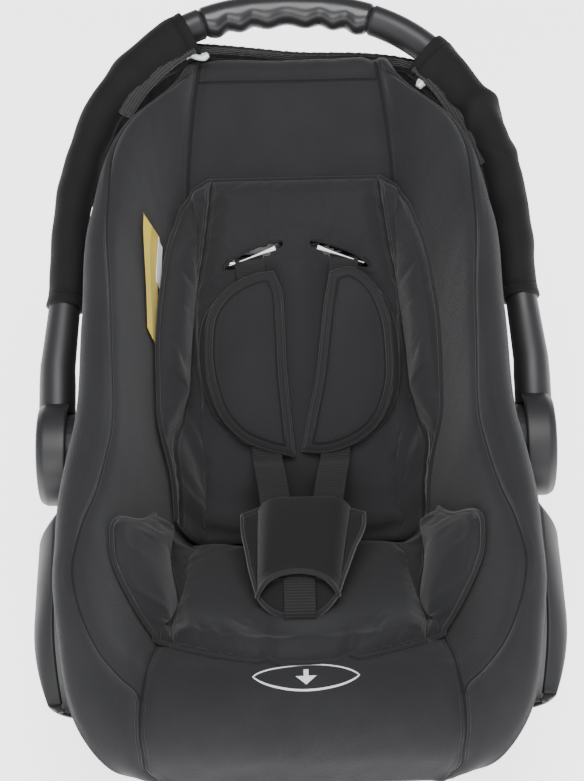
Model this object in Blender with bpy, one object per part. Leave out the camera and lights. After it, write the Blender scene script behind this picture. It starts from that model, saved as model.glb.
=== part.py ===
"""Infant carrier seat with a swing handle: bowl, liner, cover, inserts, harness, hood and rocker sides.

The scene is in metres, +Z up. The drawing below is in millimetres: X to the seat's left and right, Y from the
foot end to the head end, Z up from the floor. placed() turns drawing points into scene metres.
"""
import math

import bpy
import numpy as np

for old in list(bpy.data.objects):
    bpy.data.objects.remove(old, do_unlink=True)

MM = 0.001
CENTRE_Y = 26.5                      # drawing Y of the middle of the footprint, the part's origin

# Seat profile, side view
LIP = np.array([-287.0, 104.0])      # lower end of the nose, (y, z)
LIP_LENGTH, LIP_ANGLE = 22.7, 82.0   # mm, degrees above +Y
NOSE_RADIUS, SEAT_ANGLE = 50.0, -22.0
SEAT_LENGTH = 171.8
BIGHT_RADIUS, BACK_ANGLE = 30.0, 40.0
BACK_LENGTH = 390.5
HEAD_RADIUS, HEM_ANGLE, HEM_LENGTH = 18.0, -90.0, 20.0

# Depths below the cover's face
COVER_DEPTH = 7.0
LINER_TOP, LINER_BOTTOM = 8.0, 24.0
SHELL_DEPTH, SHELL_RIM_DEPTH, SHELL_WALL = 26.0, 9.6, 3.2
INSERT_GAP, INSERT_HEIGHT = 2.2, 20.0

# Swing handle, about the pivot
PIVOT = np.array([0.0, -30.0, 208.0])
REST_ANGLE = math.radians(27.0)
HUB_X, LIMB_X, LIMB_END, ARCH_RISE, ARCH_POWER = 198.0, 191.0, 145.0, 254.0, 2.4
TUBE_IN_PLANE, TUBE_ACROSS = 13.0, 16.0
NECK_END = 72.0
GRIP_HALF, GRIP_RADIUS, CORE_RADIUS = 74.0, 15.0, 10.0
GRIP_RIDGES, RIDGE_HEIGHT = 6, 2.6
SLEEVE_GAP, SLEEVE_WALL = 0.8, 1.2
SLEEVE_TOP_LEFT, SLEEVE_TOP_RIGHT = -88.0, 124.0
HOOD_TURN, HOOD_HALF_THICKNESS = math.radians(19.0), 1.3
CLIP_LEFT_X, CLIP_RIGHT_X = -74.0, 121.0

# Hubs, each about the pivot axis
HUB_RADIUS, HUB_BORE, BASE_RADIUS = 42.5, 39.5, 33.0
BUTTON_RADIUS, BOLT_RADIUS = 16.0, 4.0
LEG_COUNT, LEG_AT, LEG_RADIUS = 3, 12.5, 2.2
TEETH, GEAR_TIP, GEAR_ROOT = 12, 25.0, 22.0

# Rocker sides
SKIRT_Y = np.array([-252, -240, -215, -180, -145, -120, -95, -85, -76, -40, 10, 75, 115, 160, 200, 235, 258,
                    276.0])
SKIRT_WALL, FOOT_WIDTH = 3.2, 20.0
FLAT_FRONT, FLAT_REAR = -95.0, 75.0
FRONT_SLOPE, FRONT_EASE = 1.07, 20.0   # the foot rises ahead of the flat as a hyperbola
REAR_SWEEP, REAR_RISE = 228.0, 300.0   # and behind it as a quarter of an ellipse
EAR_X, EAR_FOOT_X = 212.0, 176.0
SCREW_PLACES = (("front", 5, 3), ("rear", 13, 4))   # row and column of the side panel's grid

# Harness
WEB_WIDTH, WEB_THICKNESS = 25.0, 1.6
SLOT_HEIGHT, SLOT_WIDTH = 3.6, 34.0
SHOULDER_SLOT_AT, SHOULDER_SLOT_X = 547.0, 40.0
CROTCH_SLOT_AT = 148.0
ADJUSTER_SLOT_AT = 118.0
STRAP_OUTSIDE = -31.4                # depth of webbing that runs outside the shell
WEB_LIFT = 30.0                      # height of the webbing inside the shoulder pads
PAD_TOP, PAD_FOOT = 527.0, 377.0
BUCKLE_FRONT, BUCKLE_REAR, BUCKLE_HALF = -148.0, -90.0, 27.0
BUCKLE_Z, BUTTON_LOW = 177.5, 180.6
ADJUSTER_PIN = np.array([0.0, -240.0, 152.2])

DARK = (0.018, 0.018, 0.02)
MOULDED = (0.03, 0.03, 0.032)
STEEL = (0.6, 0.6, 0.6)


# ---------------------------------------------------------------- objects and materials
def placed(points):
    """Drawing points in mm as scene points in metres."""
    points = np.asarray(points, float).reshape(-1, 3)
    return (points - (0.0, CENTRE_Y, 0.0)) * MM


def finish(name, colour, roughness, metallic):
    material = bpy.data.materials.new(name)
    material.use_nodes = True
    shader = material.node_tree.nodes["Principled BSDF"]
    shader.inputs["Base Color"].default_value = (*colour, 1.0)
    shader.inputs["Roughness"].default_value = roughness
    shader.inputs["Metallic"].default_value = metallic
    return material


def add(name, points, faces, colour=DARK, roughness=0.6, metallic=0.0, origin=None):
    """One object from drawing points; its origin is at the drawing point given, or at the part's origin."""
    centre = placed(origin)[0] if origin is not None else np.zeros(3)
    mesh = bpy.data.meshes.new(name)
    mesh.from_pydata((placed(points) - centre).tolist(), [], faces)
    mesh.shade_smooth()
    mesh.set_sharp_from_angle(angle=math.radians(35))
    mesh.materials.append(finish(name, colour, roughness, metallic))
    thing = bpy.data.objects.new(name, mesh)
    thing.location = centre
    bpy.context.scene.collection.objects.link(thing)
    return thing


def cutter(name, points, faces):
    tool = add(name, points, faces)
    tool.hide_render = True
    tool.display_type = "WIRE"
    return tool


def cut(thing, tool, operation="DIFFERENCE"):
    boolean = thing.modifiers.new(tool.name, "BOOLEAN")
    boolean.operation = operation
    boolean.object = tool
    boolean.solver = "EXACT"


# ---------------------------------------------------------------- solids from grids
def grid_faces(rows, columns, start=0, close_rows=False, close_columns=False):
    """Quads between neighbours of a rows x columns grid of points, wrapped round where asked."""
    faces = []
    for i in range(rows if close_rows else rows - 1):
        for j in range(columns if close_columns else columns - 1):
            a, b = i * columns + j, i * columns + (j + 1) % columns
            c, d = (i + 1) % rows * columns + (j + 1) % columns, (i + 1) % rows * columns + j
            faces.append((start + a, start + b, start + c, start + d))
    return faces


def sheet(top, bottom):
    """Closed sheet between two grids of points; the cross product of rows and columns leaves the top."""
    rows, columns = top.shape[:2]
    half = rows * columns
    # Split into triangles along one diagonal, so that layers cut to the same grid nest without touching
    faces = [three for a, b, c, d in grid_faces(rows, columns) for three in ((a, b, c), (a, c, d))]
    faces += [tuple(half + k for k in reversed(face)) for face in faces]
    edge = [(0, j) for j in range(columns)] + [(i, columns - 1) for i in range(1, rows)]
    edge += [(rows - 1, j) for j in range(columns - 2, -1, -1)] + [(i, 0) for i in range(rows - 2, 0, -1)]
    numbers = [i * columns + j for i, j in edge]
    for a, b in zip(numbers, numbers[1:] + numbers[:1]):
        faces.append((b, a, half + a, half + b))
    return np.vstack([top.reshape(-1, 3), bottom.reshape(-1, 3)]), faces


def loft(rings):
    """Closed solid through rings of points, with flat ends; each ring turns by the right hand along the way."""
    count, sides = rings.shape[:2]
    faces = grid_faces(count, sides, close_columns=True)
    faces.append(tuple(reversed(range(sides))))
    faces.append(tuple((count - 1) * sides + k for k in range(sides)))
    return rings.reshape(-1, 3), faces


def sleeve(outer, inner):
    """Closed tube wall: rings out along the outside and back along the bore."""
    rings = np.concatenate([outer, inner[::-1]])
    return rings.reshape(-1, 3), grid_faces(len(rings), rings.shape[1], close_rows=True, close_columns=True)


def box(low, high):
    low, high = np.asarray(low, float), np.asarray(high, float)
    corners = np.array([[x, y, z] for x in (0, 1) for y in (0, 1) for z in (0, 1)])
    faces = [(0, 1, 3, 2), (4, 6, 7, 5), (0, 4, 5, 1), (2, 3, 7, 6), (0, 2, 6, 4), (1, 5, 7, 3)]
    return low + corners * (high - low), faces


def turned(profile, side, centre=PIVOT, sides=32, ring=False):
    """Solid turned about the X axis through centre from (x, radius) points, x growing outward on that side.

    An open profile is capped flat at both ends; a ring's profile is closed and has no caps. The profile's outer
    wall runs outward on the right side; the left side is its mirror image.
    """
    angle = np.linspace(0, 2 * math.pi, sides, endpoint=False)
    x, radius = np.array(profile, float).T
    rings = np.empty((len(x), sides, 3))
    rings[..., 0] = side * x[:, None]
    rings[..., 1] = centre[1] + radius[:, None] * np.cos(angle)
    rings[..., 2] = centre[2] + radius[:, None] * np.sin(angle)
    if side < 0:
        rings = rings[:, ::-1]
    if ring:
        return rings.reshape(-1, 3), grid_faces(len(x), sides, close_rows=True, close_columns=True)
    return loft(rings)


def ribbon(middle, across, width=WEB_WIDTH, thickness=WEB_THICKNESS):
    """Flat strap along middle points; across is the direction of its width at each point."""
    along = np.gradient(middle, axis=0)
    along /= np.linalg.norm(along, axis=1, keepdims=True)
    across = np.broadcast_to(across, middle.shape)
    across = across - (across * along).sum(1, keepdims=True) * along
    across /= np.linalg.norm(across, axis=1, keepdims=True)
    face = np.cross(along, across)
    corners = [(-1, -1), (1, -1), (1, 1), (-1, 1)]
    ring = [middle + across * width / 2 * a + face * thickness / 2 * b for a, b in corners]
    return loft(np.stack(ring, axis=1))


# ---------------------------------------------------------------- the seat's surface
def arc_run(start, angle, turn, radius, lengths):
    """Points and headings along an arc of that radius, turning left for a positive turn."""
    heading = angle + turn / abs(turn) * np.degrees(lengths / radius)
    centre_way = np.radians(angle + 90 * np.sign(turn))
    centre = start + radius * np.array([math.cos(centre_way), math.sin(centre_way)])
    way = np.radians(heading - 90 * np.sign(turn))
    return centre + radius * np.column_stack([np.cos(way), np.sin(way)]), heading


def centre_line(s):
    """Seat profile (y, z) and heading in degrees at lengths s from the lip: lines joined by arcs."""
    s = np.asarray(s, float)
    runs = [
        (LIP_LENGTH, LIP_ANGLE, LIP_ANGLE, None),
        (NOSE_RADIUS * math.radians(LIP_ANGLE - SEAT_ANGLE), LIP_ANGLE, SEAT_ANGLE, NOSE_RADIUS),
        (SEAT_LENGTH, SEAT_ANGLE, SEAT_ANGLE, None),
        (BIGHT_RADIUS * math.radians(BACK_ANGLE - SEAT_ANGLE), SEAT_ANGLE, BACK_ANGLE, BIGHT_RADIUS),
        (BACK_LENGTH, BACK_ANGLE, BACK_ANGLE, None),
        (HEAD_RADIUS * math.radians(BACK_ANGLE - HEM_ANGLE), BACK_ANGLE, HEM_ANGLE, HEAD_RADIUS),
        (HEM_LENGTH, HEM_ANGLE, HEM_ANGLE, None),
    ]
    points, headings = np.zeros((len(s), 2)), np.zeros(len(s))
    at, passed = LIP, 0.0
    for length, angle, next_angle, radius in runs:
        here = (s >= passed - 1e-6) | (passed == 0.0)
        if radius is None:
            way = np.array([math.cos(math.radians(angle)), math.sin(math.radians(angle))])
            points[here] = at + (s[here] - passed)[:, None] * way
            headings[here] = angle
            at = at + length * way
        else:
            points[here], headings[here] = arc_run(at, angle, next_angle - angle, radius, s[here] - passed)
            at = arc_run(at, angle, next_angle - angle, radius, np.array([length]))[0][0]
        passed += length
    return points, headings


# Crest of the sides: length along the profile, crest (y, z), half width of the flat panel, greatest half
# width, width of the rounded crest and drop of the turned-down edge
CREST = np.array([
    (0, -288.0, 106.0, 100, 117.0, 9, 10),
    (23, -281.0, 134.0, 112, 143.0, 10, 16),
    (60, -256.0, 178.0, 121, 173.0, 13, 24),
    (113, -203.0, 224.0, 119, 188.0, 16, 30),
    (195, -145.0, 250.0, 96, 190.5, 16, 30),
    (273, -85.0, 266.0, 89, 185.0, 16, 30),
    (301, -50.0, 277.0, 87, 178.5, 16, 30),
    (380, 40.0, 304.0, 85, 174.5, 16, 30),
    (520, 140.0, 333.5, 86, 169.5, 16, 30),
    (640, 226.0, 359.5, 87, 140.0, 14, 22),
    (700, 267.0, 364.5, 80, 100.0, 11, 13),
    (722, 283.0, 364.5, 76, 90.0, 10, 11),
    (749, 303.4, 343.0, 74, 85.0, 9, 10),
    (769, 303.0, 324.0, 74, 86.0, 9, 10),
])
SEAT_END = 769.0
PANEL_SHARE, WALL_SHARE, ROLL_SHARE = 0.4, 0.4, 0.12
FOOT_EASE, CREST_EASE = 0.35, 0.30
NORMAL_LEAN = 4.0


def smooth(at, knots, values):
    """Cubic through the knots, with each knot's slope taken from its neighbours."""
    slopes = np.gradient(values, knots, axis=0)
    k = np.clip(np.searchsorted(knots, at, side="right") - 1, 0, len(knots) - 2)
    step = knots[k + 1] - knots[k]
    t = ((at - knots[k]) / step)[:, None]
    step = step[:, None]
    first, last = values[k], values[k + 1]
    return (
        first * (1 + 2 * t) * (1 - t) ** 2 + step * slopes[k] * t * (1 - t) ** 2
        + last * t ** 2 * (3 - 2 * t) + step * slopes[k + 1] * t ** 2 * (t - 1)
    )


def seat_face(s, v):
    """Points of the cover's face: s along the profile, v from -1 to 1 across it.

    At each s the section lies in the plane from the centre line to the crest: a flat panel, a wall that leaves
    it and meets the crest level, a quarter ellipse over the crest, and a strip straight down.
    """
    centre, heading = centre_line(s)
    crest_y, crest_z, panel, half, roll, drop = smooth(s, CREST[:, 0], CREST[:, 1:]).T
    lean = np.radians(heading + 90)
    rise = np.column_stack([crest_y, crest_z]) - centre
    up = rise + NORMAL_LEAN * np.column_stack([np.cos(lean), np.sin(lean)])
    up /= np.linalg.norm(up, axis=1, keepdims=True)
    height = (rise * up).sum(1)
    v = np.asarray(v, float)
    a = np.abs(v)
    crest_x = half - roll
    wall = np.clip((a - PANEL_SHARE) / WALL_SHARE, 0, 1)
    turn = np.clip((a - PANEL_SHARE - WALL_SHARE) / ROLL_SHARE, 0, 1) * math.pi / 2
    past_roll = PANEL_SHARE + WALL_SHARE + ROLL_SHARE
    strip = np.clip((a - past_roll) / (1 - past_roll), 0, 1)
    span = (crest_x - panel)[:, None]
    b0, b1, b2, b3 = (1 - wall) ** 3, 3 * wall * (1 - wall) ** 2, 3 * wall ** 2 * (1 - wall), wall ** 3
    wall_x = span * (b1 * FOOT_EASE + b2 * (1 - CREST_EASE) + b3)
    x = panel[:, None] * np.minimum(a / PANEL_SHARE, 1) + wall_x + roll[:, None] * np.sin(turn)
    low = np.minimum(roll, drop * 0.8)[:, None]
    h = height[:, None] * (b2 + b3) - low * (1 - np.cos(turn)) - (drop[:, None] - low) * strip
    points = np.empty((len(s), len(v), 3))
    points[..., 0] = x * np.sign(v)
    points[..., 1:] = centre[:, None, :] + h[..., None] * up[:, None, :]
    return points


def seat_normals(s, v, step=0.4):
    """Outward normals of the face: cross product of its slopes across and along."""
    share = 0.002
    across = seat_face(s, v + share) - seat_face(s, v - share)
    along = seat_face(s + step, v) - seat_face(s - step, v)
    normal = np.cross(across, along)
    return normal / np.linalg.norm(normal, axis=2, keepdims=True)


def seat_offset(s, v, distance):
    """The face moved along its normals by a distance, which may vary over the grid."""
    s, v = np.clip(np.asarray(s, float), 0.5, SEAT_END - 0.5), np.clip(np.asarray(v, float), -0.997, 0.997)
    distance = np.broadcast_to(distance, (len(s), len(v)))
    return seat_face(s, v) + seat_normals(s, v) * distance[..., None]


def seat_spot(s, x, distance):
    """Point over the flat panel at length s and sideways x, and the panel's along and normal directions."""
    centre, heading = centre_line(np.array([s]))
    angle = math.radians(heading[0])
    along = np.array([0.0, math.cos(angle), math.sin(angle)])
    normal = np.array([0.0, -math.sin(angle), math.cos(angle)])
    return np.array([x, *centre[0]]) + distance * normal, along, normal


SEAT_S = np.array([0, 20, 44, 67, 90, 113, 154, 200, 245, 280, 301, 322, 370, 440, 520, 590, 650, 685, 706, 722,
                   738, 752, 769.0])
HALF_V = np.array([0.4, 0.47, 0.56, 0.65, 0.74, 0.8, 0.86, 0.92, 1.0])
SEAT_V = np.concatenate([-HALF_V[::-1], [0.0], HALF_V])


# ---------------------------------------------------------------- slots
def through_slot(name, s, x, width=SLOT_WIDTH, height=SLOT_HEIGHT):
    """Cutter for a strap slot square to the panel, right through every layer."""
    middle, along, normal = seat_spot(s, x, 0)
    corners, faces = box((-width / 2, -height / 2, -48), (width / 2, height / 2, 30))
    side = np.array([1.0, 0, 0])
    points = middle + corners[:, :1] * side + corners[:, 1:2] * along + corners[:, 2:] * normal
    return cutter(name, points, faces)


SLOTS = [
    through_slot("cut_shoulder_left", SHOULDER_SLOT_AT, -SHOULDER_SLOT_X),
    through_slot("cut_shoulder_right", SHOULDER_SLOT_AT, SHOULDER_SLOT_X),
    through_slot("cut_crotch", CROTCH_SLOT_AT, 0.0),
]
ADJUSTER_SLOT = through_slot("cut_adjuster", ADJUSTER_SLOT_AT, 0.0)


# ---------------------------------------------------------------- bowl, liner, cover and inserts
def shell_depth(s, v):
    """Depth of the shell's inner face: deep under the liner, shallow where the cover turns over the rim."""
    near_rim = np.clip((np.abs(v) - 0.57) / 0.13, 0, 1)[None, :]
    near_end = np.clip(np.maximum((40 - s) / 40, (s - 655) / 45), 0, 1)[:, None]
    share = np.maximum(near_rim, near_end)
    share = share * share * (3 - 2 * share)
    return SHELL_DEPTH + (SHELL_RIM_DEPTH - SHELL_DEPTH) * share


def bucket_shell():
    s = np.clip(SEAT_S, 3, SEAT_END - 6)
    flange = np.interp(s, [0, 50, 600, 690], [0.15, 0.92, 0.92, 0.12])
    crest = PANEL_SHARE + WALL_SHARE
    depth = shell_depth(s, SEAT_V)
    top, bottom = np.empty((len(s), len(SEAT_V), 3)), np.empty((len(s), len(SEAT_V), 3))
    for i in range(len(s)):
        # The rolled rim is short where the head and nose curl tightly
        past = np.clip(np.abs(SEAT_V) - crest, 0, None)
        v = SEAT_V - np.sign(SEAT_V) * past * (1 - flange[i])
        top[i] = seat_offset(s[i:i + 1], v, -depth[i:i + 1])[0]
        bottom[i] = seat_offset(s[i:i + 1], v, -depth[i:i + 1] - SHELL_WALL)[0]
    points, faces = sheet(top, bottom)
    thing = add("bucket_shell", points, faces, MOULDED, 0.45)
    for tool in SLOTS + [ADJUSTER_SLOT]:
        cut(thing, tool)
    return thing


def eps_liner():
    s = SEAT_S[(SEAT_S > 150) & (SEAT_S < 600)]
    v = SEAT_V[np.abs(SEAT_V) < 0.6]
    points, faces = sheet(seat_offset(s, v, -LINER_TOP), seat_offset(s, v, -LINER_BOTTOM))
    thing = add("eps_liner", points, faces, (0.85, 0.85, 0.84), 0.8)
    for tool in SLOTS[:2]:
        cut(thing, tool)


def seat_cover():
    points, faces = sheet(seat_offset(SEAT_S, SEAT_V, 0.0), seat_offset(SEAT_S, SEAT_V, -COVER_DEPTH))
    thing = add("seat_cover", points, faces, DARK, 0.9)
    for tool in SLOTS:
        cut(thing, tool)


def cushion(name, s, half_v, slots):
    """Pad on the cover: full height in the middle, thin at its edges."""
    v = np.array([-1, -0.86, -0.6, -0.2, 0.2, 0.6, 0.86, 1])
    grid_v = half_v[:, None] * v[None, :]
    top, bottom = np.empty((len(s), len(v), 3)), np.empty((len(s), len(v), 3))
    ends = np.clip(np.minimum(s - s[0], s[-1] - s) / 14, 0, 1)
    for i in range(len(s)):
        sides = np.clip((1 - np.abs(v)) / 0.14, 0, 1)
        height = 7.0 + (INSERT_HEIGHT - 7.0) * np.sqrt(np.minimum(sides, ends[i]))
        bottom[i] = seat_offset(s[i:i + 1], grid_v[i], INSERT_GAP)[0]
        top[i] = seat_offset(s[i:i + 1], grid_v[i], height[None, :])[0]
    points, faces = sheet(top, bottom)
    thing = add(name, points, faces, DARK, 0.9)
    for tool in slots:
        cut(thing, tool)


def inserts():
    s = np.array([336, 343, 352, 390, 440, 490, 530, 565, 600, 609, 616.0])
    half_v = np.interp(s, [336, 400, 600, 616], [0.50, 0.54, 0.56, 0.50])
    cushion("insert_back_cushion", s, half_v, SLOTS[:2])
    s = np.array([128, 135, 143, 165, 195, 225, 250, 268, 277, 284.0])
    half_v = np.interp(s, [128, 150, 200, 250, 284], [0.36, 0.44, 0.55, 0.62, 0.60])
    cushion("insert_seat_cushion", s, half_v, SLOTS[2:])


# ---------------------------------------------------------------- handle
ARCH_WAY = np.array([0.0, math.cos(REST_ANGLE), math.sin(REST_ANGLE)])
ARCH_ACROSS = np.array([0.0, -math.sin(REST_ANGLE), math.cos(REST_ANGLE)])
SIDE_WAY = np.array([1.0, 0.0, 0.0])


def arch_radius(x):
    """Distance of the arch's middle from the pivot axis at sideways x: a superellipse above the limbs."""
    share = np.clip(np.abs(x) / LIMB_X, 0, 1) ** ARCH_POWER
    return LIMB_END + ARCH_RISE * (1 - share) ** (1 / ARCH_POWER)


def arch_path(start, stop, count):
    """Points (x, r) along the handle, by the superellipse's angle: -90 at the left limb, 0 at the top."""
    angle = np.radians(np.linspace(start, stop, count))
    x = LIMB_X * np.sign(angle) * np.abs(np.sin(angle)) ** (2 / ARCH_POWER)
    r = LIMB_END + ARCH_RISE * np.abs(np.cos(angle)) ** (2 / ARCH_POWER)
    return np.column_stack([x, r])


def arch_angle(x):
    """Superellipse angle in degrees at which the arch passes sideways x."""
    return math.degrees(math.copysign(math.asin((abs(x) / LIMB_X) ** (ARCH_POWER / 2)), x))


def tube_rings(path, in_plane, across, sides=10, shape=None):
    """Oval rings square to a path of (x, r) points in the handle's plane; shape adds to the inner side."""
    way = np.gradient(path, axis=0)
    way /= np.linalg.norm(way, axis=1, keepdims=True)
    inward = np.column_stack([way[:, 1], -way[:, 0]])
    angle = np.linspace(0, 2 * math.pi, sides, endpoint=False) + math.pi / sides
    reach = np.broadcast_to(in_plane, len(path))[:, None] * np.cos(angle)
    if shape is not None:
        reach = reach + shape[:, None] * np.clip(np.cos(angle), 0, 1)
    side = -np.broadcast_to(across, len(path))[:, None] * np.sin(angle)
    flat = path[:, None, :] + inward[:, None, :] * reach[..., None]
    return PIVOT + flat[..., :1] * SIDE_WAY + flat[..., 1:] * ARCH_WAY + side[..., None] * ARCH_ACROSS


def handle_frame():
    """Tube from hub to hub: tapering limbs, an arch, and a slim core under the grip."""
    edge = arch_angle(GRIP_HALF + 1.0)
    inner = arch_angle(GRIP_HALF + 0.4)
    limb = np.column_stack([np.linspace(HUB_X, LIMB_X, 3), np.linspace(NECK_END + 1.9, LIMB_END, 3)])
    left_arch = arch_path(-87, arch_angle(SLEEVE_TOP_LEFT), 9)
    left = np.vstack([limb * (-1, 1), left_arch, arch_path(-edge, -edge, 1)])
    middle = arch_path(-inner, inner, 9)
    shoulder = arch_angle(SLEEVE_TOP_RIGHT)
    right = np.vstack([arch_path(edge, shoulder, 5)[:-1], arch_path(shoulder, 87, 9), limb[::-1]])
    path = np.vstack([left, middle, right])
    thick = np.r_[np.ones(len(left)), np.zeros(len(middle)), np.ones(len(right))]
    in_plane = CORE_RADIUS + (TUBE_IN_PLANE - CORE_RADIUS) * thick
    across = CORE_RADIUS + (TUBE_ACROSS - CORE_RADIUS) * thick
    points, faces = loft(tube_rings(path, in_plane, across))
    add("handle_frame", points, faces, MOULDED, 0.4, origin=PIVOT)


def handle_grip():
    """Sleeve over the core, ribbed for the fingers along its inner side."""
    edge = arch_angle(GRIP_HALF)
    path = arch_path(-edge, edge, 4 * GRIP_RIDGES + 1)
    ridge = RIDGE_HEIGHT * np.sin(np.linspace(0, GRIP_RIDGES * math.pi, len(path))) ** 2
    outer = tube_rings(path, GRIP_RADIUS - 1.5, GRIP_RADIUS, shape=ridge)
    bore = tube_rings(path, CORE_RADIUS + 0.9, CORE_RADIUS + 0.9)
    points, faces = sleeve(outer, bore)
    add("handle_grip", points, faces, (0.02, 0.02, 0.02), 0.35, origin=PIVOT)


def canopy_sleeves():
    """Fabric tubes on the limbs and on the arch's shoulders."""
    for name, start, stop in (
        ("canopy_sleeve_left", -87.0, arch_angle(SLEEVE_TOP_LEFT)),
        ("canopy_sleeve_right", arch_angle(SLEEVE_TOP_RIGHT), 87.0),
    ):
        path = arch_path(start, stop, 9)
        wall = SLEEVE_GAP + SLEEVE_WALL
        outer = tube_rings(path, TUBE_IN_PLANE + wall, TUBE_ACROSS + wall)
        bore = tube_rings(path, TUBE_IN_PLANE + SLEEVE_GAP, TUBE_ACROSS + SLEEVE_GAP)
        points, faces = sleeve(outer, bore)
        add(name, points, faces, DARK, 0.8, origin=PIVOT)


def rod(name, x0, x1, angle, at, radius, side, maker, sides=10):
    """Round rod along X at a polar place round the pivot, made into an object by the maker given."""
    centre = PIVOT + (0, at * math.cos(angle), at * math.sin(angle))
    return maker(name, *turned([(x0, radius), (x1, radius)], side, centre, sides))


def handle_hub(label, side):
    """Turned housing with a neck for the limb, a web round the bolt and a hole for the button."""
    profile = [
        (187, HUB_RADIUS - 1.5), (188.5, HUB_RADIUS), (208.5, HUB_RADIUS), (212, HUB_RADIUS - 4),
        (212, BUTTON_RADIUS + 0.5), (209, BUTTON_RADIUS + 0.5), (209, 34), (202, 34), (202, BOLT_RADIUS + 0.4),
        (199, BOLT_RADIUS + 0.4), (199, 28), (193, 28), (193, HUB_BORE), (187, HUB_BORE),
    ]
    hub = add("handle_hub_" + label, *turned(profile, side, sides=28, ring=True), MOULDED, 0.4,
              origin=PIVOT)
    neck = np.column_stack([np.full(2, HUB_X) * side, [HUB_BORE + 0.8, NECK_END]])
    rings = tube_rings(neck, TUBE_IN_PLANE, TUBE_ACROSS)
    cut(hub, cutter("join_neck_" + label, *loft(rings)), "UNION")
    for k in range(LEG_COUNT):
        angle = 2 * math.pi * k / LEG_COUNT + math.pi / 2
        cut(hub, rod(f"cut_leg_{label}_{k}", 197, 204, angle, LEG_AT, LEG_RADIUS + 0.4, side, cutter))


def handle_button(label, side):
    """Round cap in the hub's face, with three legs that reach the lock gear through the web."""
    profile = [(207.4, BUTTON_RADIUS), (212.5, BUTTON_RADIUS), (214, BUTTON_RADIUS - 2)]
    button = add("handle_button_" + label, *turned(profile, side, sides=24), (0.05, 0.05, 0.052), 0.4,
                 origin=PIVOT + (side * 214.0, 0, 0))
    hollow = turned([(203, BUTTON_RADIUS - 6.5), (211.0, BUTTON_RADIUS - 6.5)], side, sides=20)
    cut(button, cutter("cut_button_" + label, *hollow))
    for k in range(LEG_COUNT):
        angle = 2 * math.pi * k / LEG_COUNT + math.pi / 2
        cut(button, rod(f"join_leg_{label}_{k}", 197.4, 208.6, angle, LEG_AT, LEG_RADIUS, side, cutter), "UNION")


def gear_outline(radius, root, teeth, x0, x1, side):
    """Toothed disc along X: a closed outline of tips and roots."""
    step = 2 * math.pi / teeth
    angle = (np.arange(teeth)[:, None] * step + np.array([-0.3, -0.2, 0.2, 0.3]) * step).ravel()
    reach = np.tile([root, radius, radius, root], teeth)
    rings = np.empty((2, len(angle), 3))
    rings[..., 0] = side * np.array([[x0], [x1]])
    rings[..., 1] = PIVOT[1] + reach * np.cos(angle)
    rings[..., 2] = PIVOT[2] + reach * np.sin(angle)
    return loft(rings[:, ::-1] if side < 0 else rings)


def lock_gear(label, side):
    """Toothed disc that slides in the base's splined socket and stands half in the hub."""
    gear = add("lock_gear_" + label, *gear_outline(GEAR_TIP, GEAR_ROOT, TEETH, 187, 197, side),
               (0.6, 0.6, 0.58), 0.5, origin=PIVOT + (side * 192.0, 0, 0))
    bore = turned([(186, BOLT_RADIUS + 0.6), (198, BOLT_RADIUS + 0.6)], side, sides=16)
    cut(gear, cutter("cut_gear_" + label, *bore))
    pocket = turned([(186, 14), (191, 14)], side, sides=20)
    cut(gear, cutter("cut_gear_pocket_" + label, *pocket))


def hub_base(label, side):
    """Round boss on the shell's side with a splined socket for the lock gear and a blind hole for the bolt."""
    profile = [(167.8, BASE_RADIUS - 3), (169.5, BASE_RADIUS), (192, BASE_RADIUS)]
    base = add("hub_base_" + label, *turned(profile, side, sides=32), (0.04, 0.04, 0.042), 0.5)
    socket = gear_outline(GEAR_TIP + 0.5, GEAR_ROOT + 0.5, TEETH, 176, 193, side)
    cut(base, cutter("cut_socket_" + label, *socket))
    hole = turned([(172, BOLT_RADIUS + 0.4), (194, BOLT_RADIUS + 0.4)], side, sides=16)
    cut(base, cutter("cut_bolt_" + label, *hole))


def pivot_bolt(label, side):
    """Shouldered bolt in the base; its head keeps the hub's web in place."""
    profile = [(172.4, BOLT_RADIUS), (202.4, BOLT_RADIUS), (202.4, 8.0), (205.0, 8.0), (205.6, 6.5)]
    add("pivot_bolt_" + label, *turned(profile, side, sides=16), STEEL, 0.3, 1.0)


def coil(name, centre, axis, radius, wire, turns, length, origin=None, sides=4):
    """Helical spring, its wire's ends cut flat."""
    axis = np.asarray(axis, float)
    helper = np.array([0.0, 0.0, 1.0]) if abs(axis[2]) < 0.9 else np.array([0.0, 1.0, 0.0])
    a = np.cross(helper, axis)
    b = np.cross(axis, a)
    angle = np.linspace(0, 2 * math.pi * turns, int(turns * 8) + 1)
    out = np.cos(angle)[:, None] * a + np.sin(angle)[:, None] * b
    middle = centre + axis * (angle / angle[-1] * length)[:, None] + radius * out
    way = np.gradient(middle, axis=0)
    way /= np.linalg.norm(way, axis=1, keepdims=True)
    third = np.cross(way, out)
    turn = np.linspace(0, 2 * math.pi, sides, endpoint=False)
    rings = middle[:, None] + wire * (
        np.cos(turn)[None, :, None] * out[:, None] + np.sin(turn)[None, :, None] * third[:, None])
    add(name, *loft(rings), (0.6, 0.6, 0.62), 0.3, 1.0, origin=origin)


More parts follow.
